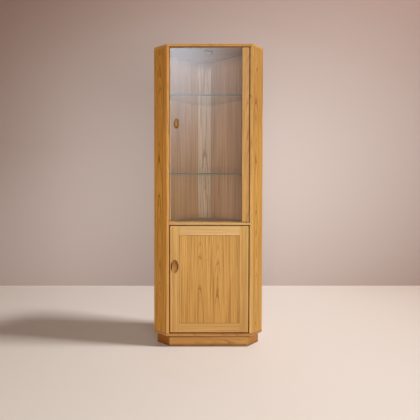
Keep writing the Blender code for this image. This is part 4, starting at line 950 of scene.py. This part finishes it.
class CABINET_OT_pegs(PieceOperator, bpy.types.Operator):
    """Turn the twelve shelf pegs: a spigot, a thin collar and a head with a domed end"""

    bl_idname = "cabinet.pegs"
    bl_label = "Shelf Pegs"

    def execute(self, context):
        spigot, head, collar, collar_end = 0.0025, 0.0034, 0.0045, 0.0015
        bevel = 0.0002
        stem = [(spigot, -0.0085), (spigot, FIT), (collar - bevel, FIT), (collar, FIT + bevel),
                (collar, collar_end - bevel), (collar - bevel, collar_end), (head, collar_end)]
        rings = turned(np.concatenate([stem, arc(head - 0.0010, 0.0080, 0.0010, 0.0, 90.0, 6)]), 32)
        x, y = wing(SIDE_THICKNESS, wing_front(SIDE_THICKNESS) + 0.070)
        back_x = 0.028
        for shelf in ("cupboard", "glass_lower", "glass_upper"):
            for side_name, side in SIDES.items():
                places = {"side": ((side * x, y), (-side / ROOT2, 1.0 / ROOT2)),
                          "back": ((side * back_x, DEPTH - CORNER_THICKNESS), (0.0, -1.0))}
                for place, (point, direction) in places.items():
                    node = f"peg_{shelf}_{place}_{side_name}"
                    outwards = np.array([*direction, 0.0])
                    shell = Shell([np.cross(UP, outwards), [0.0, 0.0, -1.0], outwards],
                                  (*point, sum(heights(node)) / 2.0))
                    shell.solid(rings)
                    add_piece(f"turned_{node}", node, shell, "brass")
        return {"FINISHED"}


class CABINET_OT_lamp(PieceOperator, bpy.types.Operator):
    """Turn the lamp's housing, ring and domed lens, and the bush that its lead leaves by"""

    bl_idname = "cabinet.lamp"
    bl_label = "Lamp and Lead Bush"

    def execute(self, context):
        middle, half = middle_and_half("lamp_ring")
        place, radius = (middle[0], middle[1] - FRONT_Y, 0.0), half[0]
        bottom, top = heights("lamp_ring")[0], heights("lamp_housing")[1]
        ring_top, wall, lead_hole, roof = bottom + 0.0035, 0.004, 0.004, 0.006
        hollow, bore = radius - wall, radius - 0.0065
        housing = [(hollow, top - roof), (hollow, ring_top + FIT), (radius, ring_top + FIT),
                   (radius, ring_top + 0.002), (radius, top - 0.002), (radius - 0.0006, top),
                   (lead_hole, top), (lead_hole, top - roof)]
        ring = np.concatenate([[(bore, ring_top - 0.0004), (bore + 0.0004, ring_top), (radius, ring_top)],
                               arc(radius - 0.0014, bottom + 0.0014, 0.0014, 0.0, -90.0, 6),
                               arc(bore + 0.0010, bottom + 0.0010, 0.0010, -90.0, -180.0, 6)])[::-1]
        low, high = heights("lead_bush")
        hole, sleeve, flange, seat = 0.0055, 0.0077, 0.0110, high - 0.0015
        bush = [(hole, low + 0.0006), (hole + 0.0006, low), (sleeve, low), (sleeve, seat), (flange, seat),
                (flange, high - 0.0004), (flange - 0.0004, high), (hole + 0.0010, high),
                (hole, high - 0.0010)]
        edge, sag = hollow - FIT, 0.0012
        t = np.linspace(0.04, 1.0, 12)
        dome = np.stack([edge * t, ring_top + FIT - sag * (1.0 - t * t)], axis=1)
        lens = np.concatenate([dome, [(edge, ring_top + 0.0055)]])
        rows = (("turned", "lamp_housing", "plated_steel", place, housing, 96),
                ("turned", "lamp_ring", "plated_steel", place, ring, 96),
                ("domed", "lamp_lens", "frosted_lens", place, lens, 64),
                ("moulded", "lead_bush", "dark_plastic", LEAD_WAY, bush, 64))
        for manner, node, slot, origin, profile, segments in rows:
            shell = Shell(origin=origin)
            skin = shell.solid if node == "lamp_lens" else shell.hoop
            skin(turned(profile, segments))
            add_piece(f"{manner}_{node}", node, shell, slot)
        return {"FINISHED"}


class CABINET_OT_glass_door(PieceOperator, bpy.types.Operator):
    """Make the glass door: the grooved stile that holds it and the frameless pane"""

    bl_idname = "cabinet.glass_door"
    bl_label = "Glass Door"

    def execute(self, context):
        self.stile(context.scene.cabinet_shape, context.scene.cabinet_wood.door)
        self.pane()
        return {"FINISHED"}

    def stile(self, shape, tint):
        """Raise the stile, with a groove for the pane in its inner edge."""
        node, r = "glass_door_stile", shape.door_rounding
        low, high = GLASS_DOOR
        inner = DOOR_HALF - HINGE_STILE
        groove, bed = (0.006 - FIT, 0.011 + FIT), inner + 0.010 + FIT
        corners = rectangle((inner, DOOR_HALF), (0.0, DOOR_THICKNESS))
        corners += [(inner, groove[1]), (bed, groove[1]), (bed, groove[0]), (inner, groove[0])]
        radii = [0.0010, r, 0.0006, 0.0006, 0.0003, 0.0003, 0.0003, 0.0003]
        worn = [0.8, 1.0, 0.4, 0.3, 0.0, 0.0, 0.0, 0.3]
        rings, wear = raised(corners, radii, [r] + [0.0004] * 7, low, high, shape.wear_width, worn,
                             end_worn=1.0)
        # Painted light: the stile is lighter towards the top, and painted shade darkens it by the gaps at
        # its ends and outer edge.
        ends = np.minimum(rings[..., 2] - low, high - rings[..., 2])
        marks = gap_marks(wear, np.minimum(DOOR_HALF - rings[..., 0], ends), r, shade_reach=0.65)
        cut = dict(colour=toned(tint, (0.93, 0.91, 0.95)), pith=[(0.020, 0.055)], ring=0.0038, lean=0.040,
                   seed=51.0, painted_light_ends=((0.98, 0.98, 0.92), (1.04, 1.08, 1.20)))
        add_wooden(f"rounded_{node}", node, "door_wood", rings, marks, cut, "glass_door")

    def pane(self):
        """Raise the pane from its back to its front, with a hole for the pull's screw."""
        (left, front, bottom), (right, back, top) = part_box("glass_pane")
        back, front = FRONT_Y - back, FRONT_Y - front
        rings, _ = raised(rectangle((left, right), (bottom, top)), [0.0040, 0.0006, 0.0006, 0.0040],
                          [0.0008, 0.0006, 0.0012, 0.0024], back, front, spread=0.004)
        shell = Shell(FORWARD)
        numbers = shell.skin(rings, slot=1)
        (x, _, z), _ = middle_and_half("glass_pull_front")
        hole = 0.004
        bore = shell.lining(turned([(hole, back), (hole, front)]) + np.array([x, z, 0.0]), slot=1)
        shell.holed_face(numbers[-1], bore[1])
        shell.holed_face(numbers[0], bore[0], False)
        # The polished edges take a pale finish: a painted highlight.
        materials = [fitting_material("clear_glass"), fitting_material("polished_edge")]
        add_piece("clear_glass_pane", "glass_pane", shell, "glass", "glass_door", materials)


class CABINET_OT_lower_door(PieceOperator, bpy.types.Operator):
    """Make the lower door: two stiles, two rails and a panel almost flush with them"""

    bl_idname = "cabinet.lower_door"
    bl_label = "Lower Door"

    def execute(self, context):
        shape = context.scene.cabinet_shape
        tints = context.scene.cabinet_wood
        self.stiles(shape, tints.door)
        self.rails(shape, tints.door)
        self.panel(shape, tints.panel)
        return {"FINISHED"}

    def stiles(self, shape, tint):
        """Raise the stiles. The left one has an oval pocket for its pull."""
        low, high = LOWER_DOOR
        middle, half = (low + high) / 2.0, (high - low) / 2.0
        r, arris, joint, shade_reach = shape.door_rounding, 0.0006, 0.0005, 0.60
        # Painted light: each stile is lighter towards the top.
        painted_light_by_side = {"left": ((1.00, 0.96, 0.88), (1.17, 1.27, 1.38)),
                "right": ((0.94, 0.91, 0.83), (1.00, 1.06, 1.09))}
        for side_name, side in SIDES.items():
            node = f"lower_door_stile_{side_name}"
            x_range = sorted((side * DOOR_HALF, side * (DOOR_HALF - STILE)))
            radii = [r, arris, arris, r] if side < 0 else [arris, r, r, arris]
            face_ends = [r, joint, r, r] if side < 0 else [r, r, r, joint]
            rings, wear = raised(rectangle(x_range, (middle - half, middle + half)), radii, face_ends,
                                 -DOOR_THICKNESS, 0.0, shape.wear_width, worn=0.9, end_worn=0.8,
                                 cap_spread=0.008, steps=6)
            ends = half - np.abs(rings[..., 1] - middle)
            outer = DOOR_HALF - np.abs(rings[..., 0])
            # Painted shade by the gaps at the ends and outer edge; on the left stile only at the ends.
            wear, grime = gap_marks(wear, np.minimum(ends, outer), r, shade_reach=shade_reach)
            if side < 0:
                grime = beside_gap(ends, r, shade_reach)
            shell = Shell(FORWARD)
            numbers = shell.skin(rings, wear, grime)
            shell.face(numbers[0][::-1])
            if side < 0:
                self.pocket(shell, numbers[-1])
            else:
                shell.face(numbers[-1])
            finish = wood(node, tint, [(0.13 * side, 0.070)], 0.0036, lean=0.010, seed=61.0 + side,
                          contrast=0.7, painted_light_ends=painted_light_by_side[side_name])
            add_piece(f"rounded_{node}", node, shell, "door_wood", "lower_door", [finish])

    def pocket(self, shell, rim):
        """Sink an oval pocket into the face within a rim of numbers."""
        (x, _, z), half = middle_and_half("lower_door_pull")
        profile = [(0.0, -0.0124), (0.0, 0.0), (-0.0012, 0.0), (-0.0030, 0.0)]
        rings = ovals(half[0] + FIT, half[2] + FIT, profile)
        # Painted shade on the pocket's wall, most at the right and top.
        grime = np.array([[1.0], [0.8], [0.25], [0.0]]) * painted_rim_shade(rings)
        wall = shell.lining(rings + np.array([x, z, 0.0]), 0.0, grime)
        shell.face(wall[0])
        shell.holed_face(rim, wall[-1])

    def rails(self, shape, tint):
        """Carry the rails' section along the door."""
        opening = DOOR_HALF - STILE - FIT
        r, arris, back = shape.door_rounding, 0.0005, 0.0006
        for rail, (low, high) in RAILS.items():
            node = f"lower_door_rail_{rail}"
            is_top = rail == "top"
            radii = [arris, back, back, r] if is_top else [r, back, back, arris]
            worn = [0.6, 0.2, 0.2, 1.0] if is_top else [1.0, 0.2, 0.2, 0.6]
            rings, wear = raised(rectangle((0.0, DOOR_THICKNESS), (low, high)), radii, 0.0002, -opening,
                                 opening, shape.wear_width, worn)
            # Painted shade by the gap above the top rail and below the bottom rail.
            marks = gap_marks(wear, high - rings[..., 1] if is_top else rings[..., 1] - low, r)
            # Painted light: the top rail is paler and the bottom rail darker.
            own_tint = toned(tint, (1.12, 1.28, 1.68) if is_top else (0.92, 0.91, 0.90))
            cut = dict(colour=own_tint, grain=ALONG, pith=[(0.090, 0.085)], ring=0.0038, lean=0.02,
                       seed=71.0 + low, contrast=0.7)
            add_wooden(f"rounded_{node}", node, "door_wood", rings, marks, cut, "lower_door", LENGTHWAYS)

    def panel(self, shape, tint):
        """Stack rectangles from the panel's back to its field: a tongue, a step and a sloped edge."""
        node = "lower_door_panel"
        x, z0, z1 = DOOR_HALF - STILE, RAILS["bottom"][1], RAILS["top"][0]
        back, front, joint, slope = -0.0133, -0.0008, 0.0006, shape.panel_arris
        tongue = back + 0.0060
        # Columns: inset, level, and painted shade in the groove and step round the field.
        stack = np.array([(0.012, back, 0.0), (FIT + 0.0003, back, 0.0), (FIT, back + 0.0003, 0.0),
                          (FIT, tongue - 0.0003, 0.0), (FIT + 0.0001, tongue, 0.5),
                          (joint - 0.0002, tongue, 0.6), (joint - 0.0001, tongue, 0.7),
                          (joint, front - slope * 0.7, 0.6),
                          (joint + slope * 0.35, front - slope * 0.18, 0.4),
                          (joint + slope, front, 0.05), (joint + slope + 0.006, front, 0.0)])
        insets, levels, grime = stack.T[:, :, None]
        insets = np.repeat(insets, 4, axis=1)
        outline = rounded_outline(rectangle((-x, x), (z0, z1)), 0.0006, insets, 0.006, 3)
        rings = np.dstack([outline, np.broadcast_to(levels, outline.shape[:2])])
        # Painted light: the panel is darker at the bottom and lighter at the top.
        cut = dict(colour=tint, pith=[(-0.057, 0.021), (0.053, 0.023)], ring=0.0056, lean=0.053, seed=81.0,
                   contrast=1.25, change=0.85, painted_light_ends=((0.93, 0.91, 0.85), (1.01, 1.05, 1.12)))
        add_wooden(f"flush_{node}", node, "panel_wood", rings, (0.0, grime), cut, "lower_door", FORWARD)


def painted_rim_shade(rings):
    """Give the painted shade round an oval rim: most at the right and top, by 0.40 + 0.32 cos t + 0.25 sin
    t.
    """
    across, up = np.moveaxis(rings[..., :2] / np.abs(rings[..., :2]).max(axis=1, keepdims=True), -1, 0)
    return np.clip(0.40 + across * 0.32 + up * 0.25, 0.0, 1.0)


def dish(rim, level, depth, half_width, steps):
    """List (inset, level) pairs of a dish that sinks by the depth times sin of a quarter turn inwards."""
    t = np.linspace(0.0, 0.97, steps)[1:]
    return np.stack([rim + (half_width - rim) * t, level - depth * np.sin(math.pi / 2.0 * t)], axis=1)


class CABINET_OT_pulls(PieceOperator, bpy.types.Operator):
    """Shape the oval pulls: two dished discs that clamp the glass, and a scooped cup in the lower door"""

    bl_idname = "cabinet.pulls"
    bl_label = "Pulls"

    def execute(self, context):
        tint = context.scene.cabinet_wood.pull
        self.disc("glass_pull_front", tint, 0.0024, 1.0)
        self.disc("glass_pull_back", tint, 0.0020, -1.0)
        self.cup(tint)
        node = "glass_pull_screw"
        middle, half = middle_and_half(node)
        length, shank, head, head_end = half[1] * 2.0, 0.0020, 0.0036, 0.0022
        shell = Shell(FORWARD, (middle[0], middle[1] + half[1] - FRONT_Y, middle[2]))
        shell.solid(turned([(head - 0.0006, 0.0), (head, 0.0004), (head, head_end), (shank, head_end),
                            (shank, length - 0.0006), (shank - 0.0006, length)], 32))
        add_piece(f"turned_{node}", node, shell, "plated_steel", "glass_door")
        return {"FINISHED"}

    def disc(self, node, tint, rounding, forwards):
        """Stack ovals from a disc's flat back over its rounded rim into its dished face."""
        middle, half = middle_and_half(node)
        thickness = half[1] * 2.0
        profile = np.concatenate([[(0.0006, 0.0), (0.0, 0.0006)],
                                  arc(rounding, thickness - rounding, rounding, 180.0, 90.0, 8),
                                  dish(0.0036, thickness, 0.0028, half[0], 20)])
        rings = ovals(half[0], half[2], profile)
        share = profile[:, :1] / half[0]
        # Painted light: a pale highlight over the dish, and painted shade on the rim.
        wear = np.clip((share - 0.50) * 5.0, 0.0, 1.8)
        grime = np.maximum(np.clip(2.2 - share * 3.6, 0.0, 1.0) * 0.46, np.clip(1.0 - share * 8.0, 0.0, 1.0))
        cut = dict(colour=toned(tint, (0.82, 0.78, 0.50)), pith=[(0.016, 0.018)], ring=0.0026, lean=0.05,
                   seed=91.0 + middle[1] - half[1])
        stand = (middle[0], middle[1] + half[1] * forwards - FRONT_Y, middle[2])
        axes = FORWARD * [[forwards], [1.0], [forwards]]
        add_wooden(f"dished_{node}", node, "pull_wood", rings, (wear, grime), cut, "glass_door", axes, stand)

    def cup(self, tint):
        """Stack ovals from the cup's back up to its rim and down into its scoop."""
        node = "lower_door_pull"
        middle, half = middle_and_half(node)
        depth, lip, rim, fall = half[1] * 2.0, 0.0006, 0.0030, 0.0008
        outside = np.concatenate([[(0.0004, -depth), (0.0, 0.0004 - depth)],
                                  arc(lip, -lip, lip, 180.0, 90.0, 5), arc(rim, -fall, fall, 90.0, 0.0, 5)])
        profile = np.concatenate([outside, dish(rim + fall, -fall, 0.0077, half[0], 24)])
        rings = ovals(half[0], half[2], profile)
        inside = (np.arange(len(profile)) >= len(outside))[:, None]
        height = rings[..., 1] / half[2]
        # Painted highlight on the lower part of the scoop; painted shade on its upper part and round the
        # rim.
        wear = inside * np.clip(height * -1.6, 0.0, 1.0) * 0.9
        grime = inside * np.clip(height * 1.4 + 0.15, 0.0, 1.0) * 0.42 + ~inside * painted_rim_shade(rings)
        cut = dict(colour=toned(tint, (0.94, 0.88, 0.66)), pith=[(0.022, 0.020)], ring=0.0028, lean=0.05,
                   seed=97.0)
        stand = (middle[0], middle[1] - half[1] - FRONT_Y, middle[2])
        add_wooden(f"scooped_{node}", node, "pull_wood", rings, (wear, grime), cut, "lower_door", FORWARD,
                   stand)


class CABINET_OT_hinges(PieceOperator, bpy.types.Operator):
    """Make the pivot hinges: plates in the ends of the doors and in the boards, pins, bushes and washers"""

    bl_idname = "cabinet.hinges"
    bl_label = "Pivot Hinges"

    def execute(self, context):
        levels = {"glass_door": (GLASS_DOOR, (MIDDLE[1], TOP[0])),
                  "lower_door": (LOWER_DOOR, (BOTTOM[1], MIDDLE[0]))}
        pin_plate, socket_plate, pin_in_bush = (0.028, 0.012, 0.007), (0.032, 0.014, 0.008), 0.006
        for door, (ends, boards) in levels.items():
            for end, upwards in (("bottom", False), ("top", True)):
                board, own = boards[upwards], ends[upwards]
                reach = abs(board - own) + pin_in_bush
                self.plate(f"{door}_pin_{end}", door, own, upwards, pin_plate, reach)
                self.plate(f"{door}_socket_{end}", "carcass", board, not upwards, socket_plate, None)
            node = f"{door}_washer"
            low, high = heights(node)
            inner, outer, bevel = 0.0031, 0.0065, 0.0003
            shell = Shell(origin=(*PIVOT, 0.0))
            shell.hoop(turned([(inner, low), (outer - bevel, low), (outer, low + bevel),
                               (outer, high - bevel), (outer - bevel, high), (inner, high)], 40))
            add_piece(f"moulded_{node}", node, shell, "nylon")
        return {"FINISHED"}

    def plate(self, node, body, level, upwards, size, reach):
        """Raise a round-cornered plate, and stand a pin on it or bore its bush."""
        shell = Shell(UPRIGHT if upwards else np.diag([1.0, -1.0, -1.0]), (*PIVOT, level))
        length, width, end = size
        back, proud = -0.002, 0.00012
        corners = rectangle((end - length, end), (-width / 2.0, width / 2.0))
        rings, _ = raised(corners, 0.0016, 0.0003, back, proud, spread=0.002, steps=3)
        numbers = shell.skin(rings)
        if reach is None:
            bush_end, hole, barrel_radius = -0.0068, 0.0031, 0.0048
            wall = shell.lining(turned([(hole, bush_end), (hole, proud)], 32))
            barrel = shell.skin(turned([(barrel_radius, bush_end), (barrel_radius, back)], 32))
            shell.band(wall[:1], barrel[:1])
            shell.holed_face(numbers[-1], wall[1])
            shell.holed_face(numbers[0], barrel[1], False)
        else:
            profile = [(0.0030, proud), (0.0030, reach - 0.0010), (0.0027, reach - 0.0003), (0.0020, reach)]
            pin = shell.skin(turned(profile, 32))
            shell.face(pin[-1])
            shell.holed_face(numbers[-1], pin[0])
            shell.face(numbers[0][::-1])
        add_piece(f"rounded_{node}", node, shell, "brass", body)


class CABINET_OT_catch_and_stop(PieceOperator, bpy.types.Operator):
    """Make the lower door's catch and strike, and the stop for the free corner of the glass"""

    bl_idname = "cabinet.catch_and_stop"
    bl_label = "Catch and Stop"

    def execute(self, context):
        board = context.scene.cabinet_wood.board
        rows = (("door_catch", "carcass", "dark_plastic", 0.0010, 0.0010),
                ("door_strike", "lower_door", "plated_steel", 0.0016, 0.0002),
                ("glass_door_stop", "carcass", "board_wood", 0.0010, 0.0010))
        for node, body, slot, corner, edge in rows:
            low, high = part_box(node)
            rings, wear = raised(rectangle((low.x, high.x), (low.z, high.z)), corner, edge, FRONT_Y - high.y,
                                 FRONT_Y - low.y, spread=0.003, worn=0.5, end_worn=0.5, steps=4)
            shell = Shell(FORWARD)
            shell.solid(rings, wear)
            materials = None
            if slot == "board_wood":
                materials = [wood(node, board, [(0.03, 0.03)], 0.003, seed=103.0, grain=ALONG)]
            add_piece(f"rounded_{node}", node, shell, slot, body, materials)
        return {"FINISHED"}


class CABINET_OT_stage(PieceOperator, bpy.types.Operator):
    """Lay a plain pale floor that curves up into a backdrop, set soft lamps and place the camera"""

    bl_idname = "cabinet.stage"
    bl_label = "Stage"

    def execute(self, context):
        scene = context.scene
        settings = scene.cabinet_stage
        scene.view_settings.view_transform = "Standard"
        self.backdrop(settings)
        self.world(scene, settings)
        self.lamp("Key lamp", settings.key, (0.8, 0.8), (2.954, -0.521, 6.136), True, (1.0, 0.985, 0.965))
        self.lamp("Fill lamp", settings.fill, (3.4, 1.6), (0.46, -4.38, 0.95), False, (1.0, 0.93, 0.85))
        data = bpy.data.cameras.new("Photograph view")
        data.sensor_width, data.lens = 36.0, 35.962
        data.shift_x, data.shift_y = 0.0997, -0.0400
        camera = bpy.data.objects.new("Photograph view", data)
        scene.collection.objects.link(camera)
        camera.location = (-0.2565, -2.78395, 1.0138)
        downwards = 1.192
        camera.rotation_euler = (math.radians(90.0 - downwards), 0.0, 0.0)
        scene.camera = camera
        return {"FINISHED"}

    def backdrop(self, settings):
        """Carry one line along X: flat floor, a quarter circle of the sweep's radius, then a wall."""
        sweep, wall_y, top, half_width = 0.012, 1.366, 4.2, 9.0
        curve = arc(wall_y - sweep, sweep, sweep, -90.0, 0.0, 24)
        line = np.concatenate([[(-9.0, 0.0), (-4.0, 0.0), (-1.0, 0.0)], curve,
                               [(wall_y, 2.0), (wall_y, top)]])
        x = np.linspace(-half_width, half_width, 3)
        grid = np.stack([np.broadcast_to(x, (len(line), 3)), *np.repeat(line.T[:, :, None], 3, 2)], axis=-1)
        numbers = np.arange(grid.size // 3).reshape(grid.shape[:2])
        quads = np.stack([numbers[:-1, :-1], numbers[:-1, 1:], numbers[1:, 1:], numbers[1:, :-1]], axis=-1)
        mesh = bpy.data.meshes.new("Floor and backdrop")
        mesh.from_pydata(grid.reshape(-1, 3).tolist(), [], quads.reshape(-1, 4).tolist())
        mesh.shade_smooth()
        mesh.materials.append(self.paper(settings, sweep))
        floor = bpy.data.objects.new("Floor and backdrop", mesh)
        bpy.context.scene.collection.objects.link(floor)

    def paper(self, settings, sweep):
        """Make paper that darkens away from the middle, on the floor and on the wall, as painted fall-off of
        the lamps' light. Its back is clear.
        """
        material, s, here = new_material("Pale studio paper")
        x, _, z = s.split(here)
        mottle = s.noise(here, (1.2, 1.2, 1.2), 3.0)
        height = s.held(z * (1.0 / sweep))
        left, right = s.held(0.20 - x, 9.0), s.held(x - 0.20, 9.0)
        wide = s.held(left * (0.20 + s.held(z, 1.4) * 0.15) + right * 0.33, 0.95)
        tall = s.maths("MINIMUM", (z - 1.0) * 0.56, 1.1)
        lightness = s.maths("EXPONENT", (wide * wide + tall * tall * height) * -1.0)
        wall = s.blend(lightness, (0.20, 0.09, 0.055, 1.0), rgba(settings.wall))
        ground = s.blend(lightness, (0.40, 0.25, 0.16, 1.0), rgba(settings.floor))
        colour = s.blend(height, ground, wall)
        colour = s.blend(mottle * 0.06, colour, rgba(settings.wall, 0.8))
        paper = s.add("BsdfPrincipled", {"Base Color": colour, "Roughness": 0.85 + (mottle - 0.5) * 0.1,
                                         "Specular IOR Level": 0.2})
        behind = s.add("NewGeometry", output="Backfacing")
        s.finish(s.add("MixShader", {0: behind, 1: paper, 2: s.add("BsdfTransparent")}))
        return material

    def world(self, scene, settings):
        """Light evenly from all round. The camera and clear glass see a wall; glossy rays a window too."""
        scene.world = bpy.data.worlds.new("Soft studio")
        s = Shading(scene.world)
        x, y, z = s.split(s.add("TexCoord", output="Generated"))
        sideways, upwards = (x - 0.01) * 9.6, s.maths("ABSOLUTE", (z - 0.31) * 6.3) ** 1.6
        in_front = s.maths("LESS_THAN", y, 0.0)
        blob = s.maths("EXPONENT", (sideways * sideways + upwards) * -1.0) * in_front
        direct = s.maths("LESS_THAN", s.add("LightPath", output="Diffuse Depth"), 0.5)
        seen = s.add("LightPath", output="Is Camera Ray")
        glossy = s.add("LightPath", output="Is Glossy Ray") * direct
        through = s.add("LightPath", output="Is Transmission Ray") * direct
        warm, pale, cool = (1.0, 0.77, 0.56, 1.0), (0.62, 0.50, 0.44, 1.0), (0.64, 0.79, 0.98, 1.0)
        even = s.add("Background", {"Color": warm, "Strength": settings.ambient})
        wall = s.add("Background", {"Color": pale, "Strength": 1.0})
        window = s.add("Background", {"Color": cool, "Strength": blob * settings.sheen})
        both = s.add("AddShader", {0: wall, 1: window})
        shown = s.add("MixShader", {0: s.maths("MAXIMUM", seen, through), 1: even, 2: wall})
        s.finish(s.add("MixShader", {0: glossy, 1: shown, 2: both}))

    def lamp(self, name, power, size, place, mirrored, colour):
        """Hang a soft lamp, so wide and so high, that faces the middle of the cabinet."""
        data = bpy.data.lights.new(name, "AREA")
        data.shape = "RECTANGLE"
        data.energy, (data.size, data.size_y) = power, size
        data.color = colour
        lamp = bpy.data.objects.new(name, data)
        bpy.context.scene.collection.objects.link(lamp)
        lamp.location = place
        aim = Vector((0.0, 0.0, 0.95)) - Vector(place)
        lamp.rotation_euler = aim.to_track_quat("-Z", "Y").to_euler()
        lamp.visible_camera = False
        lamp.visible_glossy = lamp.visible_transmission = mirrored


PIECE_OPERATORS = (CABINET_OT_end_boards, CABINET_OT_middle_board, CABINET_OT_side_boards, CABINET_OT_backs,
                   CABINET_OT_plinth, CABINET_OT_shelves, CABINET_OT_pegs, CABINET_OT_lamp,
                   CABINET_OT_glass_door, CABINET_OT_lower_door, CABINET_OT_pulls, CABINET_OT_hinges,
                   CABINET_OT_catch_and_stop, CABINET_OT_stage)
SETTINGS = {"cabinet_wood": CabinetWoodSettings, "cabinet_fittings": CabinetFittingSettings,
            "cabinet_shape": CabinetShapeSettings, "cabinet_stage": CabinetStageSettings}


class CABINET_PT_pieces(bpy.types.Panel):
    """Lists the cabinet's settings and the operators that make its pieces."""

    bl_idname = "CABINET_PT_pieces"
    bl_label = "Corner Display Cabinet"
    bl_space_type = "VIEW_3D"
    bl_region_type = "UI"
    bl_category = "Cabinet"

    def draw(self, context):
        """Draw the settings, group by group, and one button for each operator."""
        for name, group in SETTINGS.items():
            box = self.layout.box()
            box.label(text=group.__doc__)
            for setting in group.__annotations__:
                box.prop(getattr(context.scene, name), setting)
        for operator in PIECE_OPERATORS:
            self.layout.operator(operator.bl_idname)


CLASSES = (*SETTINGS.values(), *PIECE_OPERATORS, CABINET_PT_pieces)


def register():
    """Register the classes, and hang the settings on the scene."""
    for cls in CLASSES:
        bpy.utils.register_class(cls)
    for name, group in SETTINGS.items():
        setattr(bpy.types.Scene, name, PointerProperty(type=group))


def unregister():
    """Take the settings and the classes away again."""
    for name in SETTINGS:
        delattr(bpy.types.Scene, name)
    for cls in reversed(CLASSES):
        bpy.utils.unregister_class(cls)


def main():
    """Register the classes and settings, then make every piece in order."""
    register()
    for operator in PIECE_OPERATORS:
        group, name = operator.bl_idname.split(".")
        getattr(getattr(bpy.ops, group), name)()


if __name__ == "__main__":
    main()
